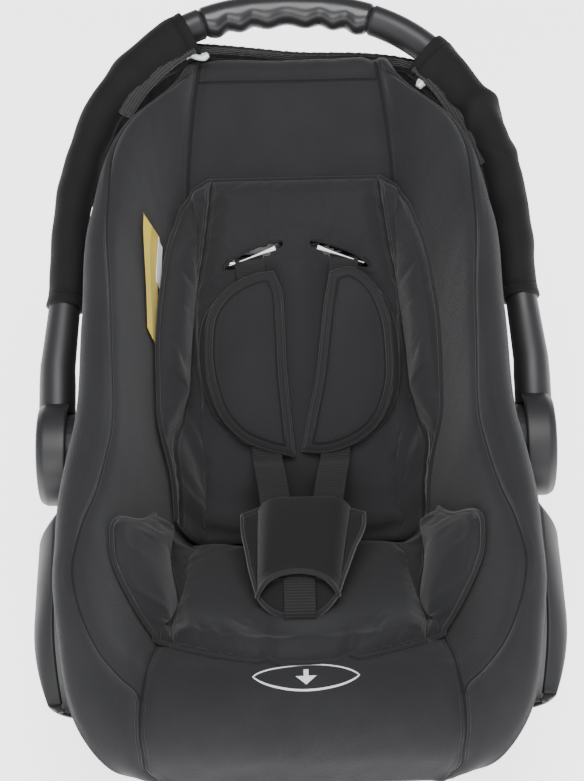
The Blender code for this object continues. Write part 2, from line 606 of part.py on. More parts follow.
# ---------------------------------------------------------------- rockers
def rocker_edges(y):
    """Foot height, top height and half width of the side panel at y."""
    front = FRONT_SLOPE * np.maximum(FLAT_FRONT - y, 0)
    rear = np.clip(y - FLAT_REAR, 0, REAR_SWEEP - 1)
    foot = np.hypot(front, FRONT_EASE) - FRONT_EASE + REAR_RISE * (1 - np.sqrt(1 - (rear / REAR_SWEEP) ** 2))
    crest = smooth(np.asarray(y, float), *crest_by_y())
    ear = np.clip((-78 - y) / 24, 0, 1)
    ear = ear * ear * (3 - 2 * ear)
    top = crest[:, 0] - 37 - 16 * ear
    half = crest[:, 1] - 5.5
    half = np.where(y < -60, np.maximum(half, 168), half)
    top = top - 20 * np.clip((y - 190) / 60, 0, 1)
    return foot, np.maximum(top, foot + 14), half, ear


def crest_by_y():
    """Crest height and half width against y, for the part of the rim that the rockers follow."""
    rows = CREST[2:11]
    return rows[:, 1], rows[:, [2, 4]]


def rocker_outside(y):
    """Outer face of the right side panel: rows along y, columns from the foot's inner edge up to the top."""
    foot, top, half, ear = rocker_edges(y)
    share = np.array([0.0, 0.06, 0.2, 0.4, 0.58, 0.74, 0.87, 0.96, 1.0])
    z = foot[:, None] + (top - foot)[:, None] * share
    # The ear is widest at four fifths of its height, and narrows over its top and towards its front end
    blunt = 1 - np.clip((-170 - y) / 95, 0, 1) ** 2.2
    reach = (EAR_X - EAR_FOOT_X) * blunt + 6 * (1 - blunt)
    swell = np.sin(np.clip(share / 0.8, 0, 1) * math.pi / 2) ** 0.8
    swell = np.where(share > 0.8, np.sqrt(1 - np.clip((share - 0.8) / 0.2, 0, 1) ** 2 * 0.75), swell)
    plain = half[:, None] - 10 * (1 - share) ** 2
    eared = EAR_FOOT_X + reach[:, None] * swell
    x = plain * (1 - ear[:, None]) + eared * ear[:, None]
    x = np.concatenate([x[:, :1] - FOOT_WIDTH, x], axis=1)
    z = np.concatenate([foot[:, None], z], axis=1)
    return np.stack([x, np.broadcast_to(y[:, None], x.shape), z], axis=2)


def rocker(label, side):
    """Side panel under the rim: a foot flange, a wall and, ahead of the hub, a full rounded ear."""
    outer = rocker_outside(SKIRT_Y)
    inward = np.cross(np.gradient(outer, axis=1), np.gradient(outer, axis=0))
    inward /= np.linalg.norm(inward, axis=2, keepdims=True)
    inward[:, 0] = (0, 0, 1)
    inward[:, 1] = (-1, 0, 1)
    inner = outer + inward * SKIRT_WALL
    if side < 0:
        outer, inner = outer * (-1, 1, 1), inner * (-1, 1, 1)
        points, faces = sheet(outer, inner)
    else:
        points, faces = sheet(outer[::-1], inner[::-1])
    thing = add("rocker_" + label, points, faces, MOULDED, 0.45)
    hole = turned([(150, BASE_RADIUS + 0.8), (200, BASE_RADIUS + 0.8)], side, sides=32)
    cut(thing, cutter("cut_rocker_" + label, *hole))
    for place, row, column in SCREW_PLACES:
        reach = abs(outer[row, column, 0])
        centre = (0, outer[row, column, 1], outer[row, column, 2])
        screw = [(reach - 11, 2.2), (reach + 2, 2.2), (reach + 2, 5.0), (reach + 4, 4.2)]
        hole = [(reach - 14, 2.7), (reach + 8, 2.7)]
        cut(thing, cutter(f"cut_screw_{label}_{place}", *turned(hole, side, centre, 12)))
        add(f"rocker_screw_{label}_{place}", *turned(screw, side, centre, 12), STEEL, 0.3, 1.0)


# ---------------------------------------------------------------- harness
def rings_on(centres, up, half_up, half_side, power=2.6, sides=14):
    """Rounded rings about centre points; their width lies along X and their height along up."""
    angle = np.linspace(0, 2 * math.pi, sides, endpoint=False) + math.pi / sides
    rise = np.sign(np.cos(angle)) * np.abs(np.cos(angle)) ** (2 / power)
    reach = np.sign(np.sin(angle)) * np.abs(np.sin(angle)) ** (2 / power)
    half_up = np.broadcast_to(half_up, len(centres))[:, None, None]
    half_side = np.broadcast_to(half_side, len(centres))[:, None, None]
    up = np.broadcast_to(up, centres.shape)[:, None, :]
    return centres[:, None, :] + up * half_up * rise[:, None] + SIDE_WAY * half_side * reach[:, None]


def panel_points(stops):
    """Points over the panel from (s, x, height above it) stops."""
    return np.array([seat_spot(*stop)[0] for stop in stops])


def shoulder_strap(label, side):
    """Webbing from the yoke behind the shell through the slot, down inside the pad and on to the tongue."""
    slot, x = SHOULDER_SLOT_AT, SHOULDER_SLOT_X * side
    over = panel_points([
        (496, 18 * side, STRAP_OUTSIDE), (515, 27 * side, STRAP_OUTSIDE), (540, x, STRAP_OUTSIDE),
        (slot - 1.6, x, STRAP_OUTSIDE), (slot - 0.3, x, STRAP_OUTSIDE + 1.2), (slot, x, STRAP_OUTSIDE + 3),
        (slot, x, 22), (slot - 0.4, x, 24.2), (slot - 2, x, 25.6), (slot - 8, x, 27), (530, x, WEB_LIFT),
        (450, 38 * side, WEB_LIFT), (374, 36 * side, WEB_LIFT), (368, 36 * side, WEB_LIFT + 0.8),
    ])
    on = np.array([(34.5 * side, -22, 163.5), (33 * side, -40, 169.5), (31.5 * side, -61, BUCKLE_Z - 1)])
    add("shoulder_strap_" + label, *ribbon(np.vstack([over, on]), SIDE_WAY), DARK, 0.8)


def shoulder_pad(label, side):
    """Soft sleeve on the webbing, straight along its inner side and bowed along its outer side."""
    s = np.array([PAD_FOOT, 382, 395, 420, 450, 480, 505, 520, PAD_TOP])
    inside = np.array([14, 8, 6, 8, 13, 16, 18, 20, 23.0])
    outside = np.array([52, 60, 68, 77, 81, 79, 71, 64, 56.0])
    thick = np.array([4, 6, 7.3, 7.5, 7.5, 7.5, 7.3, 6, 4.5])
    up = seat_spot(PAD_TOP, 0, 0)[2]
    middles = panel_points([(at, side * (a + b) / 2, WEB_LIFT) for at, a, b in zip(s, inside, outside)])
    bores = panel_points([(at, side * np.interp(at, [374, 450, 530], [36, 38, 40]), WEB_LIFT) for at in s])
    outer = rings_on(middles, up, thick, (outside - inside) / 2, 2.6)
    bore = rings_on(bores, up, 2.0, 14.4, 5.0)
    add("shoulder_pad_" + label, *sleeve(outer, bore), DARK, 0.85)


def crotch_strap():
    """Webbing from its anchor under the shell up through the seat and on to the buckle."""
    rise = panel_points([(CROTCH_SLOT_AT, 0, -34), (CROTCH_SLOT_AT, 0, -10), (CROTCH_SLOT_AT, 0, 20),
                         (CROTCH_SLOT_AT, 0, 22.5)])
    on = np.array([(0, -173.2, 175.6), (0, -170.5, 177.0), (0, -166, BUCKLE_Z), (0, -145.2, BUCKLE_Z)])
    add("crotch_strap", *ribbon(np.vstack([rise, on]), SIDE_WAY), DARK, 0.8)
    corners, faces = box((-24, -8, -31.8), (24, 8, -29.8))
    middle, along, normal = seat_spot(CROTCH_SLOT_AT, 0, 0)
    points = middle + corners[:, :1] * SIDE_WAY + corners[:, 1:2] * along + corners[:, 2:] * normal
    plate = add("crotch_anchor_plate", points, faces, (0.55, 0.55, 0.55), 0.4, 1.0)
    cut(plate, SLOTS[2])


def buckle():
    """Moulded buckle: a mouth for two tongues, a press button on a spring, a latch plate and a strap bar."""
    body = add("buckle_body", *box((-BUCKLE_HALF, BUCKLE_FRONT, 168), (BUCKLE_HALF, BUCKLE_REAR, 187)),
               (0.03, 0.03, 0.03), 0.4)
    hollows = {
        "mouth": ((-25, -116, 174.9), (25, -88, 180.1)),
        "latch": ((-20, -114, 170.2), (20, -96, 176.0)),
        "pocket": ((-13, -142, 174), (13, -120, 190)),
        "bar": ((-13.6, -150, 175.6), (13.6, -144.4, 179.4)),
    }
    for label, (low, high) in hollows.items():
        cut(body, cutter("cut_buckle_" + label, *box(low, high)))
    add("buckle_latch", *box((-19.5, -113, 170.6), (19.5, -97, 173.4)), STEEL, 0.3, 1.0)
    add("buckle_button", *box((-12.6, -141.6, BUTTON_LOW), (12.6, -120.4, 189)), (0.5, 0.02, 0.02), 0.4,
        origin=(0, -131, 189))
    coil("buckle_spring", np.array([0, -131, 174.9]), (0, 0, 1), 4.0, 0.5, 3.5, 5.1)


def tongue(label, side):
    """Steel plate with a moulded shoulder that carries the webbing, leaning out towards its strap."""
    rows = [(-112, 4, 22, 0.8), (-89.6, 4, 22, 0.8), (-89, 4, 24, 3.2), (-64, 17, 45, 3.2)]
    rings = []
    for y, near, far, half in rows:
        x0, x1 = sorted((near * side, far * side))
        rings.append([(x0, y, BUCKLE_Z - half), (x0, y, BUCKLE_Z + half), (x1, y, BUCKLE_Z + half),
                      (x1, y, BUCKLE_Z - half)])
    add("buckle_tongue_" + label, *loft(np.array(rings)), (0.05, 0.05, 0.05), 0.4,
        origin=(side * 20, -89, BUCKLE_Z))


def buckle_pad():
    """Soft sleeve round the buckle, wider where the straps come in."""
    y = np.array([-149.5, -144, -130, -100, -75, -66])
    half = np.array([33, 35, 38.5, 46, 52, 51.5])
    centres = np.column_stack([0 * y, y, np.full(len(y), 178.8)])
    up = np.array([0, 0, 1.0])
    outer = rings_on(centres, up, [15.0, 16.0, 16.6, 16.6, 16.0, 14.6], half, 3.2)
    bore = rings_on(centres, up, 12.2, half - np.array([2.6, 3.2, 3.6, 3.6, 3.4, 3.0]), 7.0)
    add("buckle_pad", *sleeve(outer, bore), DARK, 0.85)


def back_strap():
    """Yoke plate behind the shell and the adjusting webbing that runs under the seat to the nose."""
    corners, faces = box((-34, 466, STRAP_OUTSIDE - 1.0), (34, 490, STRAP_OUTSIDE + 1.0))
    add("harness_yoke", panel_points([(s, x, h) for x, s, h in corners]), faces, STEEL, 0.3, 1.0)
    deep = STRAP_OUTSIDE - 6.4
    stops = [(463, 0, STRAP_OUTSIDE), (400, 0, STRAP_OUTSIDE), (330, 0, STRAP_OUTSIDE)]
    stops += [(s, 0, STRAP_OUTSIDE) for s in (318, 308, 298, 288, 270, 200)]
    stops += [(175, 0, deep + 1), (160, 0, deep), (125, 0, deep), (119.6, 0, deep), (118.3, 0, deep + 1.2),
              (ADJUSTER_SLOT_AT, 0, deep + 3), (ADJUSTER_SLOT_AT, 0, -27), (ADJUSTER_SLOT_AT, 0, -24.5)]
    nose = np.array([(0, -221.6, 145.6), (0, -223.6, 147.0), (0, -228, 147.3), (0, -255, 147.3)])
    add("adjuster_strap", *ribbon(np.vstack([panel_points(stops), nose]), SIDE_WAY), DARK, 0.8)


def adjuster():
    """Spring cam buckle under the nose: channel, pin, cam lever and its spring."""
    frame = add("adjuster_frame", *box((-18, -254, 144.2), (18, -226, 156.0)), STEEL, 0.35, 1.0)
    cut(frame, cutter("cut_channel", *box((-16.4, -256, 145.8), (16.4, -224, 158))))
    holes = turned([(-20, 1.9), (20, 1.9)], 1, ADJUSTER_PIN, 12)
    cut(frame, cutter("cut_pin_holes", *holes))
    add("adjuster_pin", *turned([(-17.8, 1.5), (17.8, 1.5)], 1, ADJUSTER_PIN, 12), (0.7, 0.7, 0.7), 0.3, 1.0)
    # Side outline of the cam: a finger plate behind the pin and a gripping nose in front of it
    outline = [(-246, 150.2), (-242, 148.9), (-238, 149.6), (-228, 152.0), (-228, 154.4), (-238, 156.2),
               (-246, 154.6)]
    rings = np.array([[(x, y, z) for y, z in outline] for x in (-15.9, 15.9)])
    lever = add("adjuster_lever", *loft(rings), (0.05, 0.05, 0.05), 0.5, origin=ADJUSTER_PIN)
    cut(lever, cutter("cut_lever", *turned([(-17, 1.9), (17, 1.9)], 1, ADJUSTER_PIN, 12)))
    coil("adjuster_spring", np.array([14.6, -231, 146.2]), (0, 0, 1), 1.1, 0.3, 3, 4.2)


# ---------------------------------------------------------------- hood, tag and belt hook
def canopy_panel():
    """Folded hood: a sheet behind the head that hangs from the arch and draws in towards its lower hem."""
    x = np.array([-160, -140, -115, -90, -65, -35, 0, 35, 65, 95, 118, 140, 160.0])
    share = np.array([0, 0.12, 0.3, 0.5, 0.7, 0.88, 1.0])
    middle = (SLEEVE_TOP_LEFT + SLEEVE_TOP_RIGHT) / 2
    reach = (SLEEVE_TOP_RIGHT - SLEEVE_TOP_LEFT) / 2
    sag = 25 * np.clip(1 - ((x - middle) / reach) ** 2, 0, 1)
    arch = arch_radius(x)
    top_angle = REST_ANGLE - (TUBE_ACROSS + 6.5) / arch - sag * 0.0007
    angle = top_angle[None, :] - HOOD_TURN * share[:, None]
    radius = (arch - 4 - sag)[None, :] * (1 - 0.07 * share[:, None] ** 2)

    def at(distance):
        points = np.empty((*angle.shape, 3))
        points[..., 0] = x
        points[..., 1] = PIVOT[1] + (radius + distance) * np.cos(angle)
        points[..., 2] = PIVOT[2] + (radius + distance) * np.sin(angle)
        return points

    add("canopy_panel", *sheet(at(HOOD_HALF_THICKNESS), at(-HOOD_HALF_THICKNESS)), DARK, 0.8)


def canopy_clip(label, x):
    """Clear hook against the arch's inner side where the hood's hem meets the sleeve."""
    corners, faces = box((-11, -2.6, -6), (11, 2.6, 6))
    tilt = math.copysign(math.atan(abs(arch_radius(abs(x) + 4) - arch_radius(abs(x) - 4)) / 8), x)
    run = math.cos(tilt) * SIDE_WAY - math.sin(tilt) * ARCH_WAY
    out = math.sin(tilt) * SIDE_WAY + math.cos(tilt) * ARCH_WAY
    reach = TUBE_IN_PLANE + SLEEVE_GAP + SLEEVE_WALL + 4.0
    middle = PIVOT + x * SIDE_WAY + arch_radius(x) * ARCH_WAY - reach * out
    points = middle + corners[:, :1] * run + corners[:, 1:2] * out + corners[:, 2:] * ARCH_ACROSS
    add("canopy_clip_" + label, points, faces, (0.85, 0.85, 0.85), 0.1, origin=PIVOT)


def side_tag():
    s, v = np.array([425, 455, 485, 515, 540.0]), np.array([-0.645, -0.61, -0.575])
    add("side_tag", *sheet(seat_offset(s, v, 3.4), seat_offset(s, v, 2.2)), (0.85, 0.75, 0.05), 0.6)


def belt_hook():
    """Hook for the vehicle's shoulder belt on the back of the shell, open towards the head."""
    side_view = [(600, -29.9), (634, -29.9), (634, -33), (605.5, -33), (605.5, -45), (626, -45), (629, -49),
                 (600, -49)]
    rings = np.array([panel_points([(s, x, h) for s, h in side_view]) for x in (32.0, -32.0)])
    add("belt_hook", *loft(rings), (0.05, 0.15, 0.5), 0.45)


for label, side in (("left", -1), ("right", 1)):
    handle_hub(label, side)
    handle_button(label, side)
    lock_gear(label, side)
    hub_base(label, side)
    pivot_bolt(label, side)
    coil("lock_spring_" + label, PIVOT + (side * 176.9, 0, 0), (side, 0, 0), 8.6, 0.9, 4.5, 9.0)
    rocker(label, side)
    shoulder_strap(label, side)
    shoulder_pad(label, side)
    tongue(label, side)

bucket_shell()
eps_liner()
seat_cover()
inserts()
handle_frame()
handle_grip()
canopy_sleeves()
crotch_strap()
buckle()
buckle_pad()
back_strap()
adjuster()
canopy_panel()
canopy_clip("left", CLIP_LEFT_X)
canopy_clip("right", CLIP_RIGHT_X)
side_tag()
belt_hook()
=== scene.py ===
"""Infant carrier seat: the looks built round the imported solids.

Shapes are drawn in millimetres: X across, Y from the foot end to the head end, Z up from the
floor. world() moves them to the frame's metres.
"""
import math

import bmesh
import bpy
import numpy as np
from mathutils import Matrix, Vector

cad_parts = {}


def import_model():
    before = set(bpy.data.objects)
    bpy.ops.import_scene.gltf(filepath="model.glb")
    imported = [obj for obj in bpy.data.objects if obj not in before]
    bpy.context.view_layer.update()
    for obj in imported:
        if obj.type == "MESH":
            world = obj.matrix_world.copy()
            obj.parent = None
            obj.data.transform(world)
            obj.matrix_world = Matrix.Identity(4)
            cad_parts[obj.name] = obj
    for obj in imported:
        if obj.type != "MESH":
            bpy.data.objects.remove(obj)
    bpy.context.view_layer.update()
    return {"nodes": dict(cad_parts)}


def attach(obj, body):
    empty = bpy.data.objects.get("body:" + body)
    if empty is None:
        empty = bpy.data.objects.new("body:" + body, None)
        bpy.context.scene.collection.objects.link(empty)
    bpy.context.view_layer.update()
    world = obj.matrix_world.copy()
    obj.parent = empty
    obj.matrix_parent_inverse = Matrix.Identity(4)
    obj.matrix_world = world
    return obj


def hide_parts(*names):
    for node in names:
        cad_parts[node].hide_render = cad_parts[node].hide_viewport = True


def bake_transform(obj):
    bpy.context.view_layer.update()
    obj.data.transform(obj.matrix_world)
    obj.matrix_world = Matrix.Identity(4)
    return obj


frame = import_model()

# ================================================================ cover
# Quilted woven cover of the whole bowl. One surface follows the seat's profile; sewn seams divide a middle
# panel, the inner walls and the outer wrap, and each panel swells a little between its seams.


def world(points):
    """Drawing millimetres as frame metres."""
    return (np.asarray(points, float) - (0.0, 26.5, 0.0)) * 0.001


class Wire:
    """One socket's value in a shader; arithmetic on it adds Math nodes."""

    def __init__(self, tree, socket):
        self.tree, self.socket = tree, socket

    def node(self, kind, settings=None, inputs=None, output=0):
        made = self.tree.nodes.new(kind)
        for key, value in (settings or {}).items():
            setattr(made, key, value)
        for key, value in (inputs or {}).items():
            if isinstance(value, Wire):
                self.tree.links.new(value.socket, made.inputs[key])
            else:
                made.inputs[key].default_value = value
        return Wire(self.tree, made.outputs[output])

    def math(self, operation, *others):
        values = dict(enumerate((self, *others)))
        return self.node("ShaderNodeMath", {"operation": operation}, values)

    def __add__(self, other):
        return self.math("ADD", other)

    def __sub__(self, other):
        return self.math("SUBTRACT", other)

    def __mul__(self, other):
        return self.math("MULTIPLY", other)

    def __truediv__(self, other):
        return self.math("DIVIDE", other)

    __radd__, __rmul__ = __add__, __mul__

    def __rsub__(self, other):
        return (self * -1.0) + other

    def __neg__(self):
        return self * -1.0

    def step(self, low, high):
        """Smoothly 0 below low and 1 above high; low above high turns it round."""
        ends = {0: self, 1: low, 2: high}
        return self.node("ShaderNodeMapRange", {"interpolation_type": "SMOOTHSTEP"}, ends)

    def mixed(self, a, b):
        """Colour a where this is 0 and b where it is 1."""
        return self.node("ShaderNodeMix", {"data_type": "RGBA"}, {0: self, 6: a, 7: b}, 2)


def shader(name, colour, roughness, metallic=0.0, **constants):
    """Principled material; gives it, its shader node, and a Wire to start nodes from."""
    material = bpy.data.materials.new(name)
    material.use_nodes = True
    tree = material.node_tree
    surface_node = tree.nodes["Principled BSDF"]
    start = Wire(tree, None)
    fixed = {"Base Color": (*colour, 1.0), "Roughness": roughness, "Metallic": metallic}
    fixed.update({key.replace("_", " "): value for key, value in constants.items()})
    for key, value in fixed.items():
        surface_node.inputs[key].default_value = value
    return material, surface_node, start


def feed(surface_node, **wires):
    """Link wires to the shader node's sockets, which are named with underscores for spaces."""
    for key, wire in wires.items():
        wire.tree.links.new(wire.socket, surface_node.inputs[key.replace("_", " ")])


def flat_uv(start, layer="UVMap"):
    """The two coordinates of a UV layer, in millimetres."""
    map_node = start.node("ShaderNodeUVMap", {"uv_map": layer})
    parts = start.node("ShaderNodeSeparateXYZ", inputs={0: map_node})
    return parts * 1000.0, Wire(start.tree, parts.socket.node.outputs[1]) * 1000.0


def attribute(start, name):
    return start.node("ShaderNodeAttribute", {"attribute_name": name}, output=2)


def noise(start, u, v, scale, detail=2.0, seed=0.0):
    place = start.node("ShaderNodeCombineXYZ", inputs={0: u, 1: v, 2: seed})
    return start.node("ShaderNodeTexNoise", inputs={"Vector": place, "Scale": scale, "Detail": detail})


def twill(start, u, v, pitch):
    """Height of a diagonal weave: slanted ribs cut across by fine threads."""
    rib = ((u + v * 0.9) * (2 * math.pi / pitch)).math("SINE")
    thread = ((u - v) * (2 * math.pi / (pitch * 0.55))).math("SINE")
    return rib * 0.7 + rib * thread * 0.3


def bump(start, height, distance, strength=1.0):
    """Normal of a height in millimetres."""
    inputs = {"Height": height, "Distance": distance * 0.001, "Strength": strength}
    return start.node("ShaderNodeBump", inputs=inputs)


def woven(name, colour, pitch=1.5, sheen=0.25, seams=(), depth=0.16, mottle=0.18):
    """Woven cloth; along each seam attribute, in millimetres from it, the cloth dips and its colour darkens
    with painted shade in the seam's crease."""
    material, surface_node, start = shader(name, colour, 0.82, Sheen_Weight=sheen, Sheen_Roughness=0.45,
                                           Specular_IOR_Level=0.32)
    u, v = flat_uv(start)
    weave = twill(start, u, v, pitch)
    slubs = noise(start, u, v, 0.35, 3.0)
    cloud = noise(start, u, v, 0.016, 2.0, 3.0)
    height = weave * depth + slubs * 0.25
    weave_tone_and_seam_shade = weave * -0.1 + 0.1
    for seam in seams:
        away = attribute(start, seam).math("ABSOLUTE")
        # Near each seam the cloth sinks, and its colour is pulled almost to the shade tone: painted shade in
        # the crease.
        gap = away.step(1.9, 0.5)
        height = height - gap * 1.3
        weave_tone_and_seam_shade = weave_tone_and_seam_shade.math("MAXIMUM", gap * 0.95)
        stitch = (away - 3.0).math("ABSOLUTE").step(0.6, 0.15)
        height = height - stitch * 0.35
    pale = [c * (1 + mottle) for c in colour]
    tone = cloud.step(0.35, 0.65).mixed((*colour, 1.0), (*pale, 1.0))
    # The dark tone that the weave's valleys and the painted seam shade mix towards.
    shade = [c * 0.25 for c in colour]
    feed(surface_node, Base_Color=weave_tone_and_seam_shade.mixed(tone, (*shade, 1.0)), Normal=bump(start, height, 1.0, 0.8))
    return material


def surface(name, points, uv, material, closed=False, ring=False, keep=None, extra=None):
    """Mesh over a grid of drawing points. closed joins the last row to the first and ring the last column
    to the first; uv then has one more row or column. keep masks faces; extra holds values for each
    point."""
    rows, columns = points.shape[:2]
    i, j = np.meshgrid(np.arange(rows if closed else rows - 1), np.arange(columns if ring else columns - 1),
                       indexing="ij")
    corner = [(i, j), (i, j + 1), (i + 1, j + 1), (i + 1, j)]
    faces = np.stack([(a % rows) * columns + b % columns for a, b in corner], -1).reshape(-1, 4)
    coordinates = np.stack([uv[a, b] for a, b in corner], 2).reshape(-1, 4, 2)
    if keep is not None:
        faces, coordinates = faces[keep.ravel()], coordinates[keep.ravel()]
    mesh = bpy.data.meshes.new(name)
    mesh.vertices.add(rows * columns)
    mesh.vertices.foreach_set("co", world(points.reshape(-1, 3)).ravel())
    mesh.loops.add(faces.size)
    mesh.polygons.add(len(faces))
    mesh.polygons.foreach_set("loop_start", np.arange(0, faces.size, 4))
    mesh.loops.foreach_set("vertex_index", faces.ravel())
    mesh.uv_layers.new(name="UVMap").data.foreach_set("uv", coordinates.ravel() * 0.001)
    mesh.update(calc_edges=True)
    mesh.validate()
    for key, values in (extra or {}).items():
        mesh.attributes.new(key, "FLOAT", "POINT").data.foreach_set("value",
                                                                    values.ravel().astype(np.float32))
    mesh.shade_smooth()
    mesh.materials.append(material)
    thing = bpy.data.objects.new(name, mesh)
    bpy.context.scene.collection.objects.link(thing)
    return thing


def lengths(points, axis):
    """Running length in millimetres along one axis of a grid of points."""
    steps = np.linalg.norm(np.diff(points, axis=axis), axis=2)
    return np.insert(np.cumsum(steps, axis=axis), 0, 0, axis=axis)


def normals(points):
    """Unit normals of a grid: the cross product of its slopes along columns and rows."""
    normal = np.cross(np.gradient(points, axis=1), np.gradient(points, axis=0))
    return normal / np.maximum(np.linalg.norm(normal, axis=2, keepdims=True), 1e-9)


def ripple(u, v, seed, wave, count=24):
    """Smooth random height from -1 to 1: sines of many directions, no wave shorter than wave millimetres."""
    random = np.random.default_rng(seed)
    total = 0
    for _ in range(count):
        way, phase = random.uniform(0, 2 * math.pi, 2)
        k = 2 * math.pi / (wave * random.uniform(1.0, 3.5))
        total = total + np.sin(k * (u * math.cos(way) + v * math.sin(way)) + phase)
    return total / math.sqrt(count)


def eased(at, knots):
    """Smooth curve through (place, value) knots."""
    knots = np.array(knots, float)
    x, y = knots.T
    slopes = np.gradient(y, x)
    k = np.clip(np.searchsorted(x, at, side="right") - 1, 0, len(x) - 2)
    step = x[k + 1] - x[k]
    t = np.clip((at - x[k]) / step, 0, 1)
    return (y[k] * (1 + 2 * t) * (1 - t) ** 2 + step * slopes[k] * t * (1 - t) ** 2
            + y[k + 1] * t ** 2 * (3 - 2 * t) + step * slopes[k + 1] * t ** 2 * (t - 1))


def ramp(values, start, length):
    """0 up to start, 1 from start plus length on, and even between them."""
    return np.clip((values - start) / length, 0, 1)


def bell(values, centre, width):
    """Bell curve: e to the power of minus the squared distance from centre in widths."""
    return np.exp(-((values - centre) / width) ** 2)


def profile(s):
    """Seat profile (y, z) and its heading in degrees at lengths s from the lip: lines joined by round
    bends."""
    s = np.asarray(s, float)
    place, passed = np.array([-287.0, 104.0]), 0.0
    points, headings = np.zeros((*s.shape, 2)), np.zeros(s.shape)
    for length, angle, bend, radius in (
        (22.7, 82.0, 0.0, None), (50 * math.radians(104), 82.0, -104.0, 50.0), (171.8, -22.0, 0.0, None),
        (30 * math.radians(62), -22.0, 62.0, 30.0), (390.5, 40.0, 0.0, None),
        (18 * math.radians(130), 40.0, -130.0, 18.0), (40.0, -90.0, 0.0, None),
    ):
        here = (s >= passed - 1e-6) | (passed == 0.0)
        run = np.append(s[here] - passed, length)
        if radius is None:
            way = np.array([math.cos(math.radians(angle)), math.sin(math.radians(angle))])
            path, heading = place + run[:, None] * way, np.full(len(run), angle)
        else:
            side = math.copysign(1.0, bend)
            heading = angle + side * np.degrees(run / radius)
            to_centre = math.radians(angle + 90 * side)
            centre = place + radius * np.array([math.cos(to_centre), math.sin(to_centre)])
            out = np.radians(heading - 90 * side)
            path = centre + radius * np.column_stack([np.cos(out), np.sin(out)])
        points[here], headings[here] = path[:-1], heading[:-1]
        place, passed = path[-1], passed + length
    return points, headings


def seat_face(s, v):
    """Cover face at lengths s along the profile and shares v across, both grids: panel, wall, crest and
    edge."""
    crest = np.array([
        (0, -288.0, 106.0, 100, 117.0, 9, 10), (23, -281.0, 134.0, 112, 143.0, 10, 16),
        (60, -256.0, 178.0, 121, 173.0, 13, 24), (113, -203.0, 224.0, 119, 188.0, 16, 30),
        (195, -145.0, 250.0, 96, 190.5, 16, 30), (273, -85.0, 266.0, 89, 185.0, 16, 30),
        (301, -50.0, 277.0, 87, 178.5, 16, 30), (380, 40.0, 304.0, 85, 174.5, 16, 30),
        (520, 140.0, 333.5, 86, 169.5, 16, 30), (640, 226.0, 359.5, 87, 140.0, 14, 22),
        (700, 267.0, 364.5, 80, 100.0, 11, 13), (722, 283.0, 364.5, 76, 90.0, 10, 11),
        (749, 303.4, 343.0, 74, 85.0, 9, 10), (769, 303.0, 324.0, 74, 86.0, 9, 10),
    ])
    centre, heading = profile(s)
    columns = [eased(s, crest[:, [0, k]]) for k in range(1, 7)]
    crest_y, crest_z, panel, half, roll, drop = columns
    lean = np.radians(heading + 90)
    rise = np.stack([crest_y, crest_z], -1) - centre
    up = rise + 4.0 * np.stack([np.cos(lean), np.sin(lean)], -1)
    up /= np.linalg.norm(up, axis=-1, keepdims=True)
    height = (rise * up).sum(-1)
    a = np.abs(v)
    wall = ramp(a, 0.4, 0.4)
    turn = ramp(a, 0.8, 0.12) * math.pi / 2
    strip = ramp(a, 0.92, 0.08)
    span = half - roll - panel
    b1, b2, b3 = 3 * wall * (1 - wall) ** 2, 3 * wall ** 2 * (1 - wall), wall ** 3
    x = panel * np.minimum(a / 0.4, 1) + span * (b1 * 0.35 + b2 * 0.7 + b3) + roll * np.sin(turn)
    low = np.minimum(roll, drop * 0.8)
    h = height * (b2 + b3) - low * (1 - np.cos(turn)) - (drop - low) * strip
    flat = centre + h[..., None] * up
    return np.concatenate([(x * np.sign(v))[..., None], flat], -1)


def seat_normal(s, v):
    across = seat_face(s, v + 0.002) - seat_face(s, v - 0.002)
    along = seat_face(s + 0.4, v) - seat_face(s - 0.4, v)
    normal = np.cross(across, along)
    return normal / np.maximum(np.linalg.norm(normal, axis=-1, keepdims=True), 1e-9)


def over_seat(s, v, height):
    """Points at a height over the cover's face."""
    s, v = np.broadcast_arrays(np.clip(s, 0.5, 768.5), np.clip(v, -0.997, 0.997))
    return seat_face(s, v) + seat_normal(s, v) * np.broadcast_to(height, s.shape)[..., None]


def seat_path(knots, side, count=260):
    """Line on the cover through (s, v) knots on one side."""
    t = np.linspace(0, len(knots) - 1, count)
    places = np.arange(len(knots))
    s = eased(t, np.column_stack([places, [k[0] for k in knots]]))
    v = eased(t, np.column_stack([places, [k[1] for k in knots]])) * side
    return seat_face(s, v)


def from_path(points, facing, path):
    """Signed distance of each grid point from a line: positive to its left, seen from outside."""
    flat, away, side = points.reshape(-1, 3), [], []
    way = np.gradient(path, axis=0)
    for part, face in zip(np.array_split(flat, 60), np.array_split(facing.reshape(-1, 3), 60)):
        gap = part[:, None] - path[None]
        near = (gap ** 2).sum(2).argmin(1)
        to = gap[np.arange(len(part)), near]
        forward = way[near] / np.linalg.norm(way[near], axis=1, keepdims=True)
        to = to - np.clip((to * forward).sum(1, keepdims=True), -4, 4) * forward
        away.append(np.linalg.norm(to, axis=1))
        side.append(np.sign((np.cross(forward, to) * face).sum(1)))
    return (np.concatenate(away) * np.concatenate(side)).reshape(points.shape[:2])


def nearest(*distances):
    """The signed distance of smallest size at each point."""
    stack = np.stack(distances)
    return np.take_along_axis(stack, np.abs(stack).argmin(0)[None], 0)[0]


middle_seam = [(748, 0.41), (714, 0.4), (615, 0.405), (560, 0.41), (500, 0.41)]
nose_seam = [(190, 0.44), (168, 0.43), (128, 0.415), (89, 0.41), (50, 0.46), (28, 0.55), (8, 0.8)]
rim_seam = [(712, 0.72), (698, 0.83), (654, 0.85), (596, 0.84), (542, 0.81), (462, 0.77), (346, 0.73),
            (297, 0.715),
            (243, 0.73), (175, 0.785), (141, 0.80), (112, 0.77), (96, 0.68), (91, 0.56), (88, 0.45),
            (76, 0.42),
            (50, 0.46), (28, 0.55), (8, 0.8)]
cross_seam = [(704, -0.42), (704, -0.2), (704, 0.0), (704, 0.2), (704, 0.42)]

